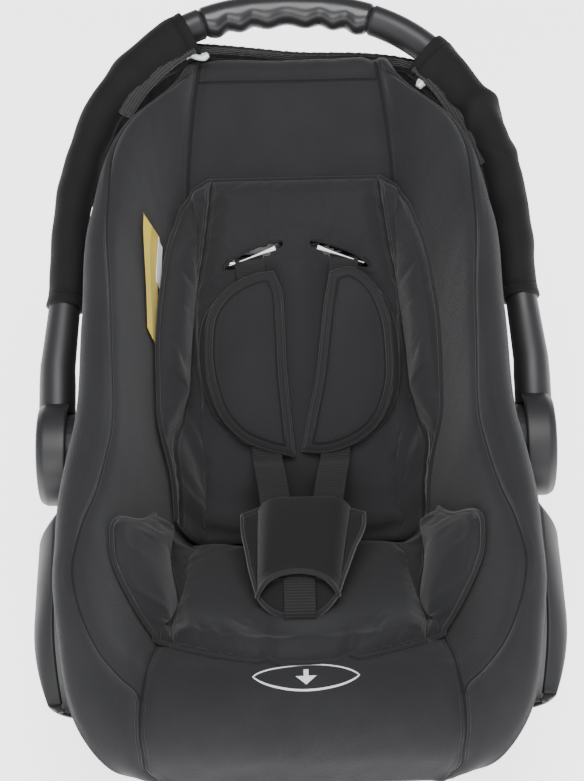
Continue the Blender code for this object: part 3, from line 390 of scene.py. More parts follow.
s_line = np.linspace(0.5, 768.5, 330)
v_line = np.concatenate([np.linspace(-0.997, -0.4, 95)[:-1], np.linspace(-0.4, 0.4, 84),
                         np.linspace(0.4, 0.997, 95)[1:]])
s_grid, v_grid = np.meshgrid(s_line, v_line, indexing="ij")
base = seat_face(s_grid, v_grid)
facing = seat_normal(s_grid, v_grid)
middle = nearest(*(side * from_path(base, facing, seat_path(k, side)) for side in (-1, 1)
                   for k in (middle_seam, nose_seam)))
rim = nearest(*(side * from_path(base, facing, seat_path(rim_seam, side)) for side in (-1, 1)))
across_head = from_path(base, facing, seat_path(cross_seam, 1))
across_head = np.where(np.abs(v_grid) < 0.405, across_head, np.abs(across_head) + 20)
u_len = lengths(base, 1) - lengths(base, 1)[:, 136:137]
v_len = lengths(base, 0)[:, 136:137] + 0 * u_len
height = -2.6 * bell(middle, 0, 6.5) - 2.0 * bell(rim, 0, 6.0)
height += -2.2 * bell(across_head, 0, 6.0)
height += 1.1 * bell(rim, 4.5, 2.6) * (s_grid > 120)
flat_share = 1 - 0.7 * ramp(np.abs(v_grid), 0.38, 0.1)
height += flat_share * (0.5 * ripple(u_len, v_len, 4, 42.0) + 0.2 * ripple(u_len, v_len, 9, 16.0))
face = base + facing * height[..., None]
under = base - facing * 6.5
edge_in = np.concatenate([under[:, 4:5], face, under[:, -5:-4]], 1)
uv = np.stack([np.pad(u_len, ((0, 0), (1, 1)), "edge"), np.pad(v_len, ((0, 0), (1, 1)), "edge")], -1)
uv[:, 0, 0] -= 7
uv[:, -1, 0] += 7
rows = np.concatenate([edge_in[3:4] - np.pad(facing, ((0, 0), (1, 1), (0, 0)), "edge")[3:4] * 6.5, edge_in,
                       edge_in[-4:-3] - np.pad(facing, ((0, 0), (1, 1), (0, 0)), "edge")[-4:-3] * 6.5])
uv = np.concatenate([uv[:1] - (0, 7), uv, uv[-1:] + (0, 7)])


def bordered(values):
    """A grid's values repeated once round its edge."""
    return np.pad(values, 1, "edge")


def slot_open(s, x, side):
    """True inside a shoulder slot: a slanted lens about 54 mm wide."""
    along = (x * side - 36.0) / 27.0
    slant = 549.0 - 11.0 * along
    return (np.abs(along) < 1) & (np.abs(s - slant) < 6.2 * np.sqrt(np.clip(1 - along ** 2, 0, 1)) + 0.4)


middle_s, middle_x = bordered(s_grid), bordered(base[..., 0])
centre_s = (middle_s[1:, 1:] + middle_s[:-1, :-1]) / 2
centre_x = (middle_x[1:, 1:] + middle_x[:-1, :-1]) / 2
holes = slot_open(centre_s, centre_x, 1) | slot_open(centre_s, centre_x, -1)

cover_colour = (0.0135, 0.0135, 0.0148)
cover_cloth = woven("cover_cloth", cover_colour, 1.7, sheen=0.12, seams=("middle", "rim", "across_head"))
surface_node = cover_cloth.node_tree.nodes["Principled BSDF"]
start = Wire(cover_cloth.node_tree, None)
print_u, print_v = flat_uv(start)
# White press mark on the nose: a lens-shaped outline round a plain arrow that points down to the adjuster
px, pv = print_u - 2.0, print_v - 98.0
across_mark = px / 41.0
lens = (1.0 - across_mark * across_mark).math("MAXIMUM", 0.0).math("POWER", 0.7) * 13.0
outline = (pv.math("ABSOLUTE") - lens).math("ABSOLUTE").step(1.2, 0.6) * px.math("ABSOLUTE").step(42.0,
                                                                                                  41.2)
stem = px.math("ABSOLUTE").step(2.1, 1.7) * (pv - 2.5).math("ABSOLUTE").step(4.9, 4.5)
head_arrow = (px.math("ABSOLUTE") - (pv + 8.0)).step(0.4, 0.0) * (pv + 4.0).math("ABSOLUTE").step(4.2, 3.8)
mark = outline.math("MAXIMUM", stem).math("MAXIMUM", head_arrow)
before = surface_node.inputs["Base Color"].links[0].from_socket
white = mark.mixed(Wire(start.tree, before), (0.8, 0.8, 0.8, 1.0))
feed(surface_node, Base_Color=white)

cover = surface("cover", rows, uv, cover_cloth, keep=~holes,
                extra={"middle": bordered(middle), "rim": bordered(rim),
                       "across_head": bordered(across_head)})
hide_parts("seat_cover")
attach(cover, "seat")

# ================================================================ infant insert: back and seat cushions
# Two soft cushions on the cover. Each has a middle pad and a raised leaf of padding along each side, sewn
# down on a fold between them; the seat cushion's front seam is drawn in at two puckers. Cloth pressure
# swells them.


def blown(jobs, frames=18):
    """Cloth pressure for (object, pin weights, pressure, slack, cap in mm) together; each move is capped."""
    starts = []
    for thing, pins, pressure, slack, cap in jobs:
        group = thing.vertex_groups.new(name="held")
        for k, weight in enumerate(pins.ravel()):
            if weight > 0.01:
                group.add([k], float(weight), "REPLACE")
        cloth = thing.modifiers.new("cloth", "CLOTH")
        cloth.settings.quality = 5
        cloth.settings.mass = 0.3
        cloth.settings.tension_stiffness = 12
        cloth.settings.compression_stiffness = 8
        cloth.settings.shear_stiffness = 4
        cloth.settings.bending_stiffness = 0.35
        cloth.settings.use_pressure = True
        cloth.settings.uniform_pressure_force = pressure
        cloth.settings.shrink_min = -slack
        cloth.settings.vertex_group_mass = "held"
        cloth.settings.effector_weights.gravity = 0
        cloth.collision_settings.use_collision = False
        cloth.point_cache.frame_end = frames
        at = np.empty(len(thing.data.vertices) * 3, np.float32)
        thing.data.vertices.foreach_get("co", at)
        starts.append(at.reshape(-1, 3))
    for frame_number in range(1, frames + 1):
        bpy.context.scene.frame_set(frame_number)
    graph = bpy.context.evaluated_depsgraph_get()
    for (thing, _, _, _, cap), start_at in zip(jobs, starts):
        now = np.empty(start_at.size, np.float32)
        thing.evaluated_get(graph).data.vertices.foreach_get("co", now)
        move = now.reshape(-1, 3) - start_at
        size = np.linalg.norm(move, axis=1, keepdims=True)
        limit = cap * 0.001
        move *= np.where(size > 1e-9, limit * np.tanh(size / limit) / np.maximum(size, 1e-9), 0)
        thing.modifiers.clear()
        thing.data.vertices.foreach_set("co", (start_at + move).astype(np.float32).ravel())
        thing.data.update()
    bpy.context.scene.frame_set(1)


def shell_of(top, bottom, uv):
    """Ring grid of a closed flat bag: across the top and back along the bottom; its end rows meet."""
    top, bottom = top.copy(), bottom.copy()
    for row in (0, -1):
        middle = (top[row] + bottom[row]) / 2
        top[row], bottom[row] = middle, middle
    points = np.concatenate([top, bottom[:, -2:0:-1]], 1)
    flipped = uv[:, -2:0:-1] + (0, 900.0)
    return points, np.concatenate([uv, flipped, uv[:, :1] + (0, 900.0)], 1)


def weld(thing, gap=0.00002):
    """Merge points closer than gap metres and drop faces that have no area."""
    grown = bmesh.new()
    grown.from_mesh(thing.data)
    bmesh.ops.remove_doubles(grown, verts=grown.verts, dist=gap)
    bmesh.ops.dissolve_degenerate(grown, dist=gap / 2, edges=grown.edges)
    grown.to_mesh(thing.data)
    grown.free()
    return thing


def softened(thing, levels=1):
    """Finish a piece with a subdivision surface."""
    modifier = thing.modifiers.new("smooth", "SUBSURF")
    modifier.levels = modifier.render_levels = levels


def run_along(path):
    """Running length at each point of a path."""
    return np.append(0, np.cumsum(np.linalg.norm(np.diff(path, axis=0), axis=1)))


def sweep(path, side, wide, thick, power=2.0, sides=12):
    """Tube round a path: a superellipse with its wide axis along side and its thick axis square to both."""
    way = np.gradient(path, axis=0)
    way /= np.maximum(np.linalg.norm(way, axis=1, keepdims=True), 1e-9)
    side = np.broadcast_to(np.asarray(side, float), path.shape)
    side = side - (side * way).sum(1, keepdims=True) * way
    side /= np.maximum(np.linalg.norm(side, axis=1, keepdims=True), 1e-9)
    other = np.cross(way, side)
    angle = np.linspace(0, 2 * math.pi, sides, endpoint=False)
    reach = np.sign(np.cos(angle)) * np.abs(np.cos(angle)) ** (2 / power)
    rise = np.sign(np.sin(angle)) * np.abs(np.sin(angle)) ** (2 / power)
    wide = np.broadcast_to(wide, len(path))[:, None, None]
    thick = np.broadcast_to(thick, len(path))[:, None, None]
    points = path[:, None] + side[:, None] * wide * reach[:, None] + other[:, None] * thick * rise[:, None]
    run = run_along(path)
    around = np.append(run_along(points[len(path) // 2]), 0)
    around[-1] = around[-2] + around[1]
    return points, np.stack(np.meshgrid(run, around, indexing="ij"), -1)


def capped(points, uv):
    """A tube's grid with both ends drawn in to their middles."""
    ends = [np.repeat(points[k].mean(0, keepdims=True), points.shape[1], 0)[None] for k in (0, -1)]
    return np.concatenate([ends[0], points, ends[1]]), np.concatenate([uv[:1], uv, uv[-1:]])


def joined(name, grids, material):
    """One mesh from several ring grids of (points, uv)."""
    parts = [surface(name, points, uv, material, ring=True) for points, uv in grids]
    if len(parts) > 1:
        with bpy.context.temp_override(active_object=parts[0], selected_editable_objects=parts,
                                       selected_objects=parts):
            bpy.ops.object.join()
    parts[0].name = name
    return parts[0]


def insert_grid(s, v, height, shift):
    """Closed bag over the cover, height thick and moved across by shift; gives its points and uv."""
    base = over_seat(s, v, 1.5)
    top = over_seat(s, v, 1.5 + height)
    uv = np.stack([lengths(base, 1), lengths(base, 0)], -1)
    points, ring_uv = shell_of(top, base, uv)
    return points + (shift, 0, 0), ring_uv


# The flat middle panel: its share of the width across, and about half its width
panel_share, panel_half = 0.4, 86
side_reach_mm = 215
both_sides = (("left", -1), ("right", 1))
insert_colour = (0.0125, 0.0125, 0.0137)
insert_cloth = woven("insert_cloth", insert_colour, 1.5, sheen=0.14, seams=("fold",), depth=0.12)
piping_cloth = woven("piping_cloth", (0.0095, 0.0095, 0.0105), 1.2, depth=0.05)

c_line = np.concatenate([np.linspace(-1, -0.8, 12)[:-1], np.linspace(-0.8, 0.8, 62),
                         np.linspace(0.8, 1, 12)[1:]])
s_back = np.concatenate([np.linspace(297, 600, 96)[:-1], np.linspace(600, 617, 8)])
s_b, c_b = np.meshgrid(s_back, c_line, indexing="ij")
fold = eased(s_b, [(297, 0.50), (335, 0.53), (350, 0.545), (384, 0.52), (490, 0.44), (565, 0.36),
                   (600, 0.335), (617, 0.325)])
rim_v = eased(s_b, [(297, 0.52), (335, 0.555), (350, 0.59), (375, 0.60), (482, 0.585), (560, 0.53),
                    (595, 0.46), (610, 0.385),
                    (617, 0.335)])
a_b = np.abs(c_b)
v_b = np.sign(c_b) * np.where(a_b < 0.8, fold * a_b / 0.8, fold + (rim_v - fold) * (a_b - 0.8) / 0.2)
from_end = np.clip(np.minimum((s_b - 297) / 30, (617 - s_b) / 16), 0, 1)
middle_pad = 15.5 - 10.5 * ramp(a_b, 0.62, 0.18) ** 2
leaf = 5.0 + 13.0 * np.sin(ramp(a_b, 0.8, 0.2) * math.pi) ** 0.7
leaf_top = 4.0 + (leaf - 4.0) * ramp(s_b, 342, 60) ** 0.7
h_b = np.where(a_b < 0.8, middle_pad, leaf_top) * np.sqrt(from_end)
x_b = v_b * panel_half / panel_share
h_b += 7.0 * bell(x_b, 1.5, 15) * ramp(s_b, 380, 60) * np.clip((572 - s_b) / 30, 0, 1)
h_b -= 3.0 * bell(np.abs(x_b - 1.5), 27, 9) * ramp(s_b, 500, 30) * np.clip((572 - s_b) / 30, 0, 1)
h_b = np.where(a_b > 0.995, 3.5, h_b)
points_b, uv_b = insert_grid(s_b, v_b, h_b, 4.0)
centre_s = (s_b[1:, 1:] + s_b[:-1, :-1]) / 2
centre_x = ((v_b[1:, 1:] + v_b[:-1, :-1]) / 2) * panel_half / panel_share
hole = slot_open(centre_s, centre_x - 2.0, 1) | slot_open(centre_s, centre_x + 2.0, -1)
rows_b, columns_b = s_b.shape
open_back = np.zeros((rows_b - 1, 2 * columns_b - 2), bool)
open_back[:, :columns_b - 1] = hole
open_back[:, columns_b - 1:] = hole[:, ::-1]
fold_b = np.full(points_b.shape[:2], 50.0)
fold_b[:, :columns_b] = (a_b - 0.8) * np.where(a_b < 0.8, fold * side_reach_mm / 0.8,
                                               (rim_v - fold) * 5 * side_reach_mm)
back = surface("insert_back", points_b, uv_b, insert_cloth, ring=True, keep=~open_back,
               extra={"fold": fold_b})
held = np.ones((rows_b, 2 * columns_b - 2))
seam_b = bell(a_b, 0.8, 0.012) + np.exp(-((1 - a_b) / 0.01) ** 2)
held[:, :columns_b] = np.clip(seam_b + np.exp(-(np.minimum(s_b - 297, 617 - s_b) / 3.0) ** 2), 0, 1)
around_slots = slot_open(s_b, x_b * 0.93, 1) | slot_open(s_b, x_b * 0.93, -1)
held[:, :columns_b] = np.maximum(held[:, :columns_b], around_slots)

turn_at = np.linspace(0, 2 * math.pi, 90)
for label, side in both_sides:
    lens_along = np.cos(turn_at)
    slot_x = side * (36.0 + 27.5 * lens_along)
    slot_s = 549.0 - 11.0 * lens_along + 7.2 * np.sin(turn_at)
    lip = over_seat(slot_s, slot_x * panel_share / panel_half, 14.0 + 1.5 * np.sin(turn_at)) + (4.0, 0, 0)
    binding = joined("slot_binding_" + label, [capped(*sweep(lip, (0, -0.64, 0.77), 2.0, 1.7, 2.0, 12))],
                     piping_cloth)
    t = np.linspace(0, 1, 40)
    wedge_x = side * (58.0 - 40.0 * t)
    wedge = over_seat(541.0 + 14.5 * t, wedge_x * panel_share / panel_half, 15.0) + (4.0, 0, 0)
    # The foam edge's material glows a little (emission 0.22): painted light that keeps the white sliver
    # bright down in the slot.
    foam_edge = joined("foam_edge_" + label, [capped(*sweep(wedge, (0, 0.77, 0.64), 0.45 + 1.6 * t ** 3,
                                                            1.0, 2.4, 12))],
                       shader("foam_edge_" + label, (0.9, 0.9, 0.89), 0.7, Emission_Color=(1, 1, 1, 1),
                              Emission_Strength=0.22)[0])
    for thing, slot_name in ((binding, "insert"), (foam_edge, "foam")):
        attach(thing, "seat")

r_line, c_seat = np.linspace(0, 1, 62), np.concatenate(
    [np.linspace(-1, -0.8, 15)[:-1], np.linspace(-0.8, 0.8, 76), np.linspace(0.8, 1, 15)[1:]])
r_s, c_s = np.meshgrid(r_line, c_seat, indexing="ij")
a_s = np.abs(c_s)
front = 112 + 27 * np.clip(a_s / 0.8, 0, 1) ** 2.2 + 10 * ramp(a_s, 0.8, 0.2)
front += 5.0 * bell(c_s * 100, -22, 4.5) + 6.0 * bell(c_s * 100, 33, 4.5)
s_s = front + r_s ** 1.15 * (286 - front)
fold_s = eased(s_s, [(112, 0.30), (141, 0.36), (175, 0.405), (250, 0.51), (275, 0.53), (290, 0.54)])
rim_s = eased(s_s, [(112, 0.30), (141, 0.37), (152, 0.47), (170, 0.60), (209, 0.675), (235, 0.665),
                    (262, 0.60),
                    (290, 0.56)])
v_s = np.sign(c_s) * np.where(a_s < 0.8, fold_s * a_s / 0.8, fold_s + (rim_s - fold_s) * (a_s - 0.8) / 0.2)
ends = np.clip(np.minimum(r_s / 0.09, (1 - r_s) / 0.07), 0, 1)
pad_s = 15.0 - 9.5 * ramp(a_s, 0.66, 0.14) ** 2
pad_s -= 3.0 * (bell(c_s * 100, -22, 7) + bell(c_s * 100, 33, 7)) * bell(r_s, 0, 0.16)
leaf_s = 5.5 + 12.0 * np.sin(ramp(a_s, 0.8, 0.2) * math.pi) ** 0.7
h_s = np.where(a_s < 0.8, pad_s, leaf_s) * np.sqrt(ends)
h_s = np.where(a_s > 0.995, 3.5, h_s)
points_s, uv_s = insert_grid(s_s, v_s, h_s, -1.0)
fold_at = np.full(points_s.shape[:2], 50.0)
fold_at[:, :s_s.shape[1]] = (a_s - 0.8) * np.where(a_s < 0.8, fold_s * side_reach_mm / 0.8,
                                                   (rim_s - fold_s) * 5 * side_reach_mm)
seat = surface("insert_seat", points_s, uv_s, insert_cloth, ring=True, extra={"fold": fold_at})
rows_s, columns_s = s_s.shape
held_s = np.ones((rows_s, 2 * columns_s - 2))
seam_s = bell(a_s, 0.8, 0.014) + np.exp(-((1 - a_s) / 0.01) ** 2)
held_s[:, :columns_s] = np.clip(seam_s + np.exp(-(np.minimum(r_s, 1 - r_s) / 0.02) ** 2), 0, 1)
insert_jobs = [(back, held, 3.0, 0.03, 4.0), (seat, held_s, 3.0, 0.03, 4.0)]

rim_back = np.concatenate([points_b[:, 0], points_b[-1, 1:columns_b - 1], points_b[::-1, columns_b - 1]])
rim_seat = np.concatenate([points_s[::-1, 0], points_s[0, 1:columns_s - 1], points_s[:, columns_s - 1]])
for name, path in (("insert_back_piping", rim_back), ("insert_seat_piping", rim_seat)):
    cord_grid = capped(*sweep(path, (0, -0.68, 0.73), 2.0, 2.0, sides=10))
    piping = joined(name, [cord_grid], piping_cloth)
    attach(piping, "seat")

# ================================================================ shoulder pads and buckle pad
# D-shaped pads on the shoulder straps, each with a bound hem and a thinner layer behind that shows at its
# outer edge, and a pocket pad round the buckle with an arched flap over it. Cloth pressure swells them.


def outline(knots, count=150):
    """Closed smooth line through (x, y) knots; a knot named twice is a corner."""
    knots = np.array(knots, float)
    gap = np.linalg.norm(np.roll(knots, -1, 0) - knots, axis=1)
    total = []
    corners = [k for k in range(len(knots)) if gap[k] < 1e-6]
    starts = corners or [0]
    for n, k in enumerate(starts):
        end = starts[(n + 1) % len(starts)]
        span = [(k + 1 + m) % len(knots) for m in range((end - k - 1) % len(knots) + 1)]
        run = knots[span]
        reach = run_along(run)
        steps = max(3, int(round(count * reach[-1] / gap.sum())))
        t = np.linspace(0, reach[-1], steps, endpoint=False)
        total.append(np.column_stack([eased(t, np.column_stack([reach, run[:, m]])) for m in (0, 1)]))
    return np.concatenate(total)


def bag(line, centre, place, rise, sink, rings=22, round_edge=0.35):
    """Closed cushion over an outline: rings draw in to its centre on top and come back beneath.

    place(x, y, height) gives the drawing point; rise and sink are the heights over and under the middle
    plane. Its uv layer runs in millimetres across the pad."""
    share = np.linspace(0, 1, rings) ** 0.85
    spread = centre + (line[None] - centre) * np.sin(share * math.pi / 2)[:, None, None]
    edge = np.sin(share * math.pi / 2)
    up_height = rise * (1 - edge ** 3) ** round_edge
    down_height = -sink * (1 - edge ** 3) ** round_edge
    both = np.concatenate([spread, spread[-2::-1]])
    level = np.concatenate([up_height, down_height[-2::-1]])
    points = place(both[..., 0], both[..., 1], np.broadcast_to(level[:, None], both.shape[:2]))
    uv = np.concatenate([both, both[:, :1]], 1)
    return points[::-1], uv[::-1]


def over_panel(x, s, lift):
    """Place over the flat middle panel at a lift above it."""
    centre, heading = profile(s)
    angle = np.radians(heading)
    return np.stack([x, centre[..., 0] - lift * np.sin(angle), centre[..., 1] + lift * np.cos(angle)], -1)


def edge_distance(line, points):
    """Distance of each point from the nearest point of a line."""
    gap = np.linalg.norm(points[:, None] - line[None], axis=2)
    return gap.min(1)


pad_outlines = {
    "left": [(-2, 376), (-2, 376), (-25, 382), (-46, 392), (-63, 411), (-72, 436), (-75.5, 470), (-69, 503),
             (-52, 521), (-33, 530), (-17, 533), (-17, 533), (-11, 518), (-9, 490), (-8, 450), (-5, 410)],
    "right": [(33, 531), (33, 531), (48, 535), (66, 524), (79, 500), (84, 465), (82, 430), (68, 400),
              (46, 385),
              (25, 379), (6, 380), (6, 380), (12, 408), (19, 440), (24, 475), (28, 505)],
}
pad_cloth = woven("pad_cloth", (0.0125, 0.0125, 0.0137), 1.5, sheen=0.14, seams=("hem",), depth=0.12)
hem_cloth = woven("hem_cloth", (0.0105, 0.0105, 0.0115), 1.3, depth=0.08)
pad_jobs = []
for side_name, knots in pad_outlines.items():
    side = -1 if side_name == "left" else 1
    line = outline(knots)
    middle_at = np.array([side * 44.0 + 4, 455.0])

    def pad_place(x, s, h, side=side):
        bow = 8.0 * np.clip(np.abs(x - side * 40 - 4) / 40, 0, 1) ** 2
        return over_panel(x, s, 31.0 + h - bow)

    def back_place(x, s, h):
        return over_panel(x, s, 23.5 + h)

    points, uv = bag(line, middle_at, pad_place, 9.5, 7.0)
    to_hem = edge_distance(line, uv[:, :-1].reshape(-1, 2)).reshape(points.shape[:2]) - 7.0
    to_hem[:len(points) // 2] = 50.0
    pad = surface("shoulder_pad_" + side_name + "_front", points, uv, pad_cloth, ring=True,
                  extra={"hem": to_hem})
    pins = np.zeros(points.shape[:2])
    pins[:len(points) // 2 + 2] = 1.0
    pad_jobs.append((pad, pins, 3.0, 0.04, 6.0))
    wide = middle_at + (line - middle_at) * (1.04, 0.97) + (side * 4.5, -2.0)
    layer = surface("shoulder_pad_" + side_name + "_back", *bag(wide, middle_at, back_place, 2.5, 2.0, 8),
                    pad_cloth,
                    ring=True)
    hem_line = np.concatenate([line, line[:1]])
    path = pad_place(hem_line[:, 0], hem_line[:, 1], np.zeros(len(hem_line)))
    hem = joined("shoulder_pad_" + side_name + "_hem",
                 [capped(*sweep(path, over_panel(1, 500, 1)[None] - over_panel(1, 500, 0), 2.6, 1.5, 2.6,
                                10))],
                 hem_cloth)
    for thing in (pad, layer, hem):
        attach(thing, "seat")
    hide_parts("shoulder_pad_" + side_name)

pocket_line = outline([(-46, -70), (-46, -70), (-46, -80), (-42, -110), (-37, -140), (-31, -160),
                       (-19, -172),
                       (0, -176), (17, -172), (28, -160), (36, -138), (46, -105), (54, -82), (55, -70),
                       (55, -70),
                       (20, -67), (-20, -67)])


def pocket_place(x, y, h):
    """Over the buckle: curved down at both sides and dipping towards the tip."""
    dip = 9.0 * ramp(np.abs(x - 3), 18, 30) ** 1.5 + 7.0 * np.clip((-140 - y) / 36, 0, 1) ** 1.4
    return np.stack([x, y, 178.0 - dip + h], -1)


pocket = surface("buckle_pad_base", *bag(pocket_line, np.array([1.0, -120.0]), pocket_place, 7.0, 7.5),
                 pad_cloth,
                 ring=True)
hem_line = np.concatenate([pocket_line, pocket_line[:1]])
pocket_hem = joined("buckle_pad_hem", [capped(*sweep(pocket_place(hem_line[:, 0], hem_line[:, 1],
                                                                  1.5 + 0 * hem_line[:, 0]),
                                                     (0, 0, 1), 3.4, 1.6, 2.4, 10))], hem_cloth)
q_line, t_line = np.linspace(-1, 1, 60), np.linspace(0, 1, 60)
t_f, q_f = np.meshgrid(t_line, q_line, indexing="ij")
hem_y = -159.0 + 13.5 * (1 - q_f ** 2)
flap_y = -65.0 + (hem_y + 65.0) * t_f
flap_half = 39.0 - 6.0 * t_f
flap_x = 5.5 - 7.0 * t_f + flap_half * q_f
crown = 192.5 + 3.5 * np.sin(np.clip(t_f * 1.15, 0,
                                     1) * math.pi) ** 0.6 - 16.0 * np.abs(q_f) ** 6 - 3.0 * (1 - t_f) ** 4
crown += 1.3 * np.exp(-((1 - t_f) / 0.05) ** 2)
flap_top = np.stack([flap_x, flap_y, crown], -1)
flap_low = flap_top - (0, 0, 2.6)
flap_uv = np.stack([lengths(flap_top, 1), lengths(flap_top, 0)], -1)
flap_points, flap_ring = shell_of(flap_top, flap_low, flap_uv)
flap = surface("buckle_pad_flap", flap_points[::-1], flap_ring[::-1], pad_cloth, ring=True)
flap_hem_path = np.stack([flap_x[-1], flap_y[-1], crown[-1] - 1.0], -1)
flap_hem = joined("buckle_pad_flap_hem", [capped(*sweep(flap_hem_path, (0, 1, 0.3), 2.2, 1.7, 2.4, 10))],
                  hem_cloth)
for thing in (pocket, pocket_hem, flap, flap_hem):
    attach(thing, "seat")
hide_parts("buckle_pad")
pocket_pins = np.ones((43, len(pocket_line)))
pocket_pins[22:] = 0.0
pad_jobs.append((pocket, pocket_pins, 2.0, 0.03, 3.0))

blown(insert_jobs + pad_jobs)
for thing, node, fill in ((back, "insert_back_cushion", 0.6), (seat, "insert_seat_cushion", 0.6)):
    softened(weld(thing))
    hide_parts(node)
    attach(thing, "seat")
for thing, *_ in pad_jobs:
    softened(weld(thing))

# ================================================================ harness webbing
# Flat woven straps: from the slots under the shoulder pads down to the buckle, each with a sewn box, the
# crotch strap over the pocket's tip, and the adjuster's strap.


def webbing(name, rib=2.5):
    """Ribbed webbing: rows of weft across it, crossed by finer warp threads."""
    material, surface_node, start = shader(name, (0.007, 0.007, 0.0075), 0.75, Sheen_Weight=0.08,
                                           Specular_IOR_Level=0.3)
    run, around = flat_uv(start)
    weft = (run * (2 * math.pi / rib) + (around * (math.pi / 2.1)).math("SINE") * 0.9).math("SINE")
    warp = (around * (2 * math.pi / 1.05)).math("SINE")
    height = weft * 0.22 + warp * weft * 0.1 + noise(start, run, around, 0.6) * 0.2
    colour = weft.step(-0.6, 0.8).mixed((0.005, 0.005, 0.0053, 1), (0.0155, 0.0155, 0.0165, 1))
    feed(surface_node, Base_Color=colour, Normal=bump(start, height, 1.0, 0.9))
    return material


def smoothed(path, count):
    """Smooth curve of count points through a path's points, and the path's length."""
    marks = run_along(path)
    fine = np.linspace(0, marks[-1], count)
    return np.column_stack([eased(fine, np.column_stack([marks, path[:, k]])) for k in range(3)]), marks[-1]


def box_stitch(material, first, last, low, high):
    """Rows of stitches in a box sewn on the webbing between two lengths."""
    surface_node = material.node_tree.nodes["Principled BSDF"]
    start = Wire(material.node_tree, None)
    run, around = flat_uv(start)
    inside = run.step(first - 0.2, first + 0.2) * run.step(last + 0.2, last - 0.2)
    inside = inside * around.step(low - 0.2, low + 0.2) * around.step(high + 0.2, high - 0.2)
    row = ((run - first) * (2 * math.pi / 3.6)).math("COSINE").step(0.55, 0.85)
    dash = (around * (2 * math.pi / 3.0)).math("SINE").step(-0.3, 0.1)
    thread = inside * row * dash
    before = Wire(start.tree, surface_node.inputs["Base Color"].links[0].from_socket)
    feed(surface_node, Base_Color=thread.mixed(before, (0.0005, 0.0005, 0.0005, 1.0)))
    return material


def moulded(name, colour, roughness, grain=0.05, coat=0.0):
    """Moulded plastic with a fine grain."""
    material, surface_node, start = shader(name, colour, roughness, Coat_Weight=coat, Coat_Roughness=0.12)
    place = start.node("ShaderNodeTexCoord", output=3)
    speck = start.node("ShaderNodeTexNoise", inputs={"Vector": place, "Scale": 1100.0, "Detail": 3.0})
    cloud = start.node("ShaderNodeTexNoise", inputs={"Vector": place, "Scale": 14.0, "Detail": 2.0})
    feed(surface_node, Roughness=cloud.step(0.3, 0.7) * 0.08 + (roughness - 0.04),
         Normal=bump(start, speck, grain, 0.5))
    return material


strap_paths = {
    "left": [(-38, 551, -2), (-37, 546, 12), (-36, 538, 21), (-34.5, 522, 27), (-32, 470, 31),
             (-26, 400, 30.5), (-24.5, 374, 30.5), (-23, 358, 31)],
    "right": [(46, 551, -2), (45, 546, 12), (44, 538, 21), (42.5, 522, 27), (40, 470, 31), (34, 400, 30.5),
              (33, 374, 30.5), (31.5, 358, 31)],
}
strap_ends = {"left": [(-20.5, -40, 173), (-18.5, -58, 180), (-17.5, -72, 182)],
              "right": [(28, -40, 173), (25.5, -58, 180), (24, -72, 182)]}
for side_name, stops in strap_paths.items():
    over = np.array([over_panel(*np.array(stop, float)) for stop in stops[:-1]])
    lower = np.array(strap_ends[side_name], float)
    t = np.linspace(0, 1, 5)[1:-1, None]
    bridge = over[-1] + (lower[-1] - over[-1]) * t + (0, 0, 3.5) * np.sin(t * math.pi)
    path = np.concatenate([over, bridge, lower[-1:]])
    path, whole_length = smoothed(path, 170)
    grid = capped(*sweep(path, (1, 0, 0), 12.5, 0.9, 8.0, 28))
    cloth = box_stitch(webbing("webbing_" + side_name), whole_length - 42, whole_length - 18, 3.0, 22.0)
    strap = joined("shoulder_strap_" + side_name + "_web", [grid], cloth)
    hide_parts("shoulder_strap_" + side_name)
    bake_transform(strap)

for side_name, stops in strap_ends.items():
    end_x = stops[-1][0]
    blade = np.column_stack([np.linspace(end_x * 0.62, end_x, 14), np.linspace(-110, -66, 14),
                             np.full(14, 177.5)])
    blade_half = 9.5 + 3.5 * np.clip((blade[:, 1] + 96) / 8, 0, 1)
    blade_thick = 0.9 + 2.0 * np.clip((blade[:, 1] + 96) / 8, 0, 1)
    plate = joined("tongue_plate_" + side_name, [capped(*sweep(blade, (1, 0, 0), blade_half, blade_thick,
                                                               6.0, 32))],
                   moulded("tongue_plastic_" + side_name, (0.018, 0.018, 0.019), 0.3, 0.02))
    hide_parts("buckle_tongue_" + side_name)
    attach(plate, "tongue_" + side_name)

crotch = np.array([(0, -172, 146), (0, -177, 158), (0, -178.5, 168), (0, -176.5, 176.5), (0, -171, 181),
                   (0, -160, 184.5),
                   (0, -146, 186), (0, -135, 186)], float)
path, _ = smoothed(crotch, 90)
grid = capped(*sweep(path, (1, 0, 0), 12.5, 1.1, 8.0, 28))
crotch_web = joined("crotch_web", [grid], box_stitch(webbing("webbing_crotch"), 24, 41, 3.0, 21.5))
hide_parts("crotch_strap")
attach(crotch_web, "seat")
plain_web = webbing("webbing_adjuster")
frame["nodes"]["adjuster_strap"].data.materials.clear()
frame["nodes"]["adjuster_strap"].data.materials.append(plain_web)

# ================================================================ handle, grip and hubs
# Moulded carry handle: an oval tube up each side and over in a flattened arch, with a ridged finger grip
# round its top, turning on two round hubs with a press button in each face.
pivot = np.array([0.0, -30.0, 208.0])
rest_angle = math.radians(27)
arch_way = np.array([0, math.cos(rest_angle), math.sin(rest_angle)])
arch_across = np.array([0, -math.sin(rest_angle), math.cos(rest_angle)])


def arch_radius(x):
    """Distance of the arch's middle from the pivot axis: a superellipse of power 2.4 above the limbs."""
    return 145 + 254 * (1 - np.clip(np.abs(x) / 191, 0, 1) ** 2.4) ** (1 / 2.4)


def arch_path(start, stop, count):
    angle = np.radians(np.linspace(start, stop, count))
    x = 191 * np.sign(angle) * np.abs(np.sin(angle)) ** (2 / 2.4)
    return np.column_stack([x, 145 + 254 * np.abs(np.cos(angle)) ** (2 / 2.4)])


def arch_angle(x):
    return math.degrees(math.copysign(math.asin((abs(x) / 191) ** 1.2), x))


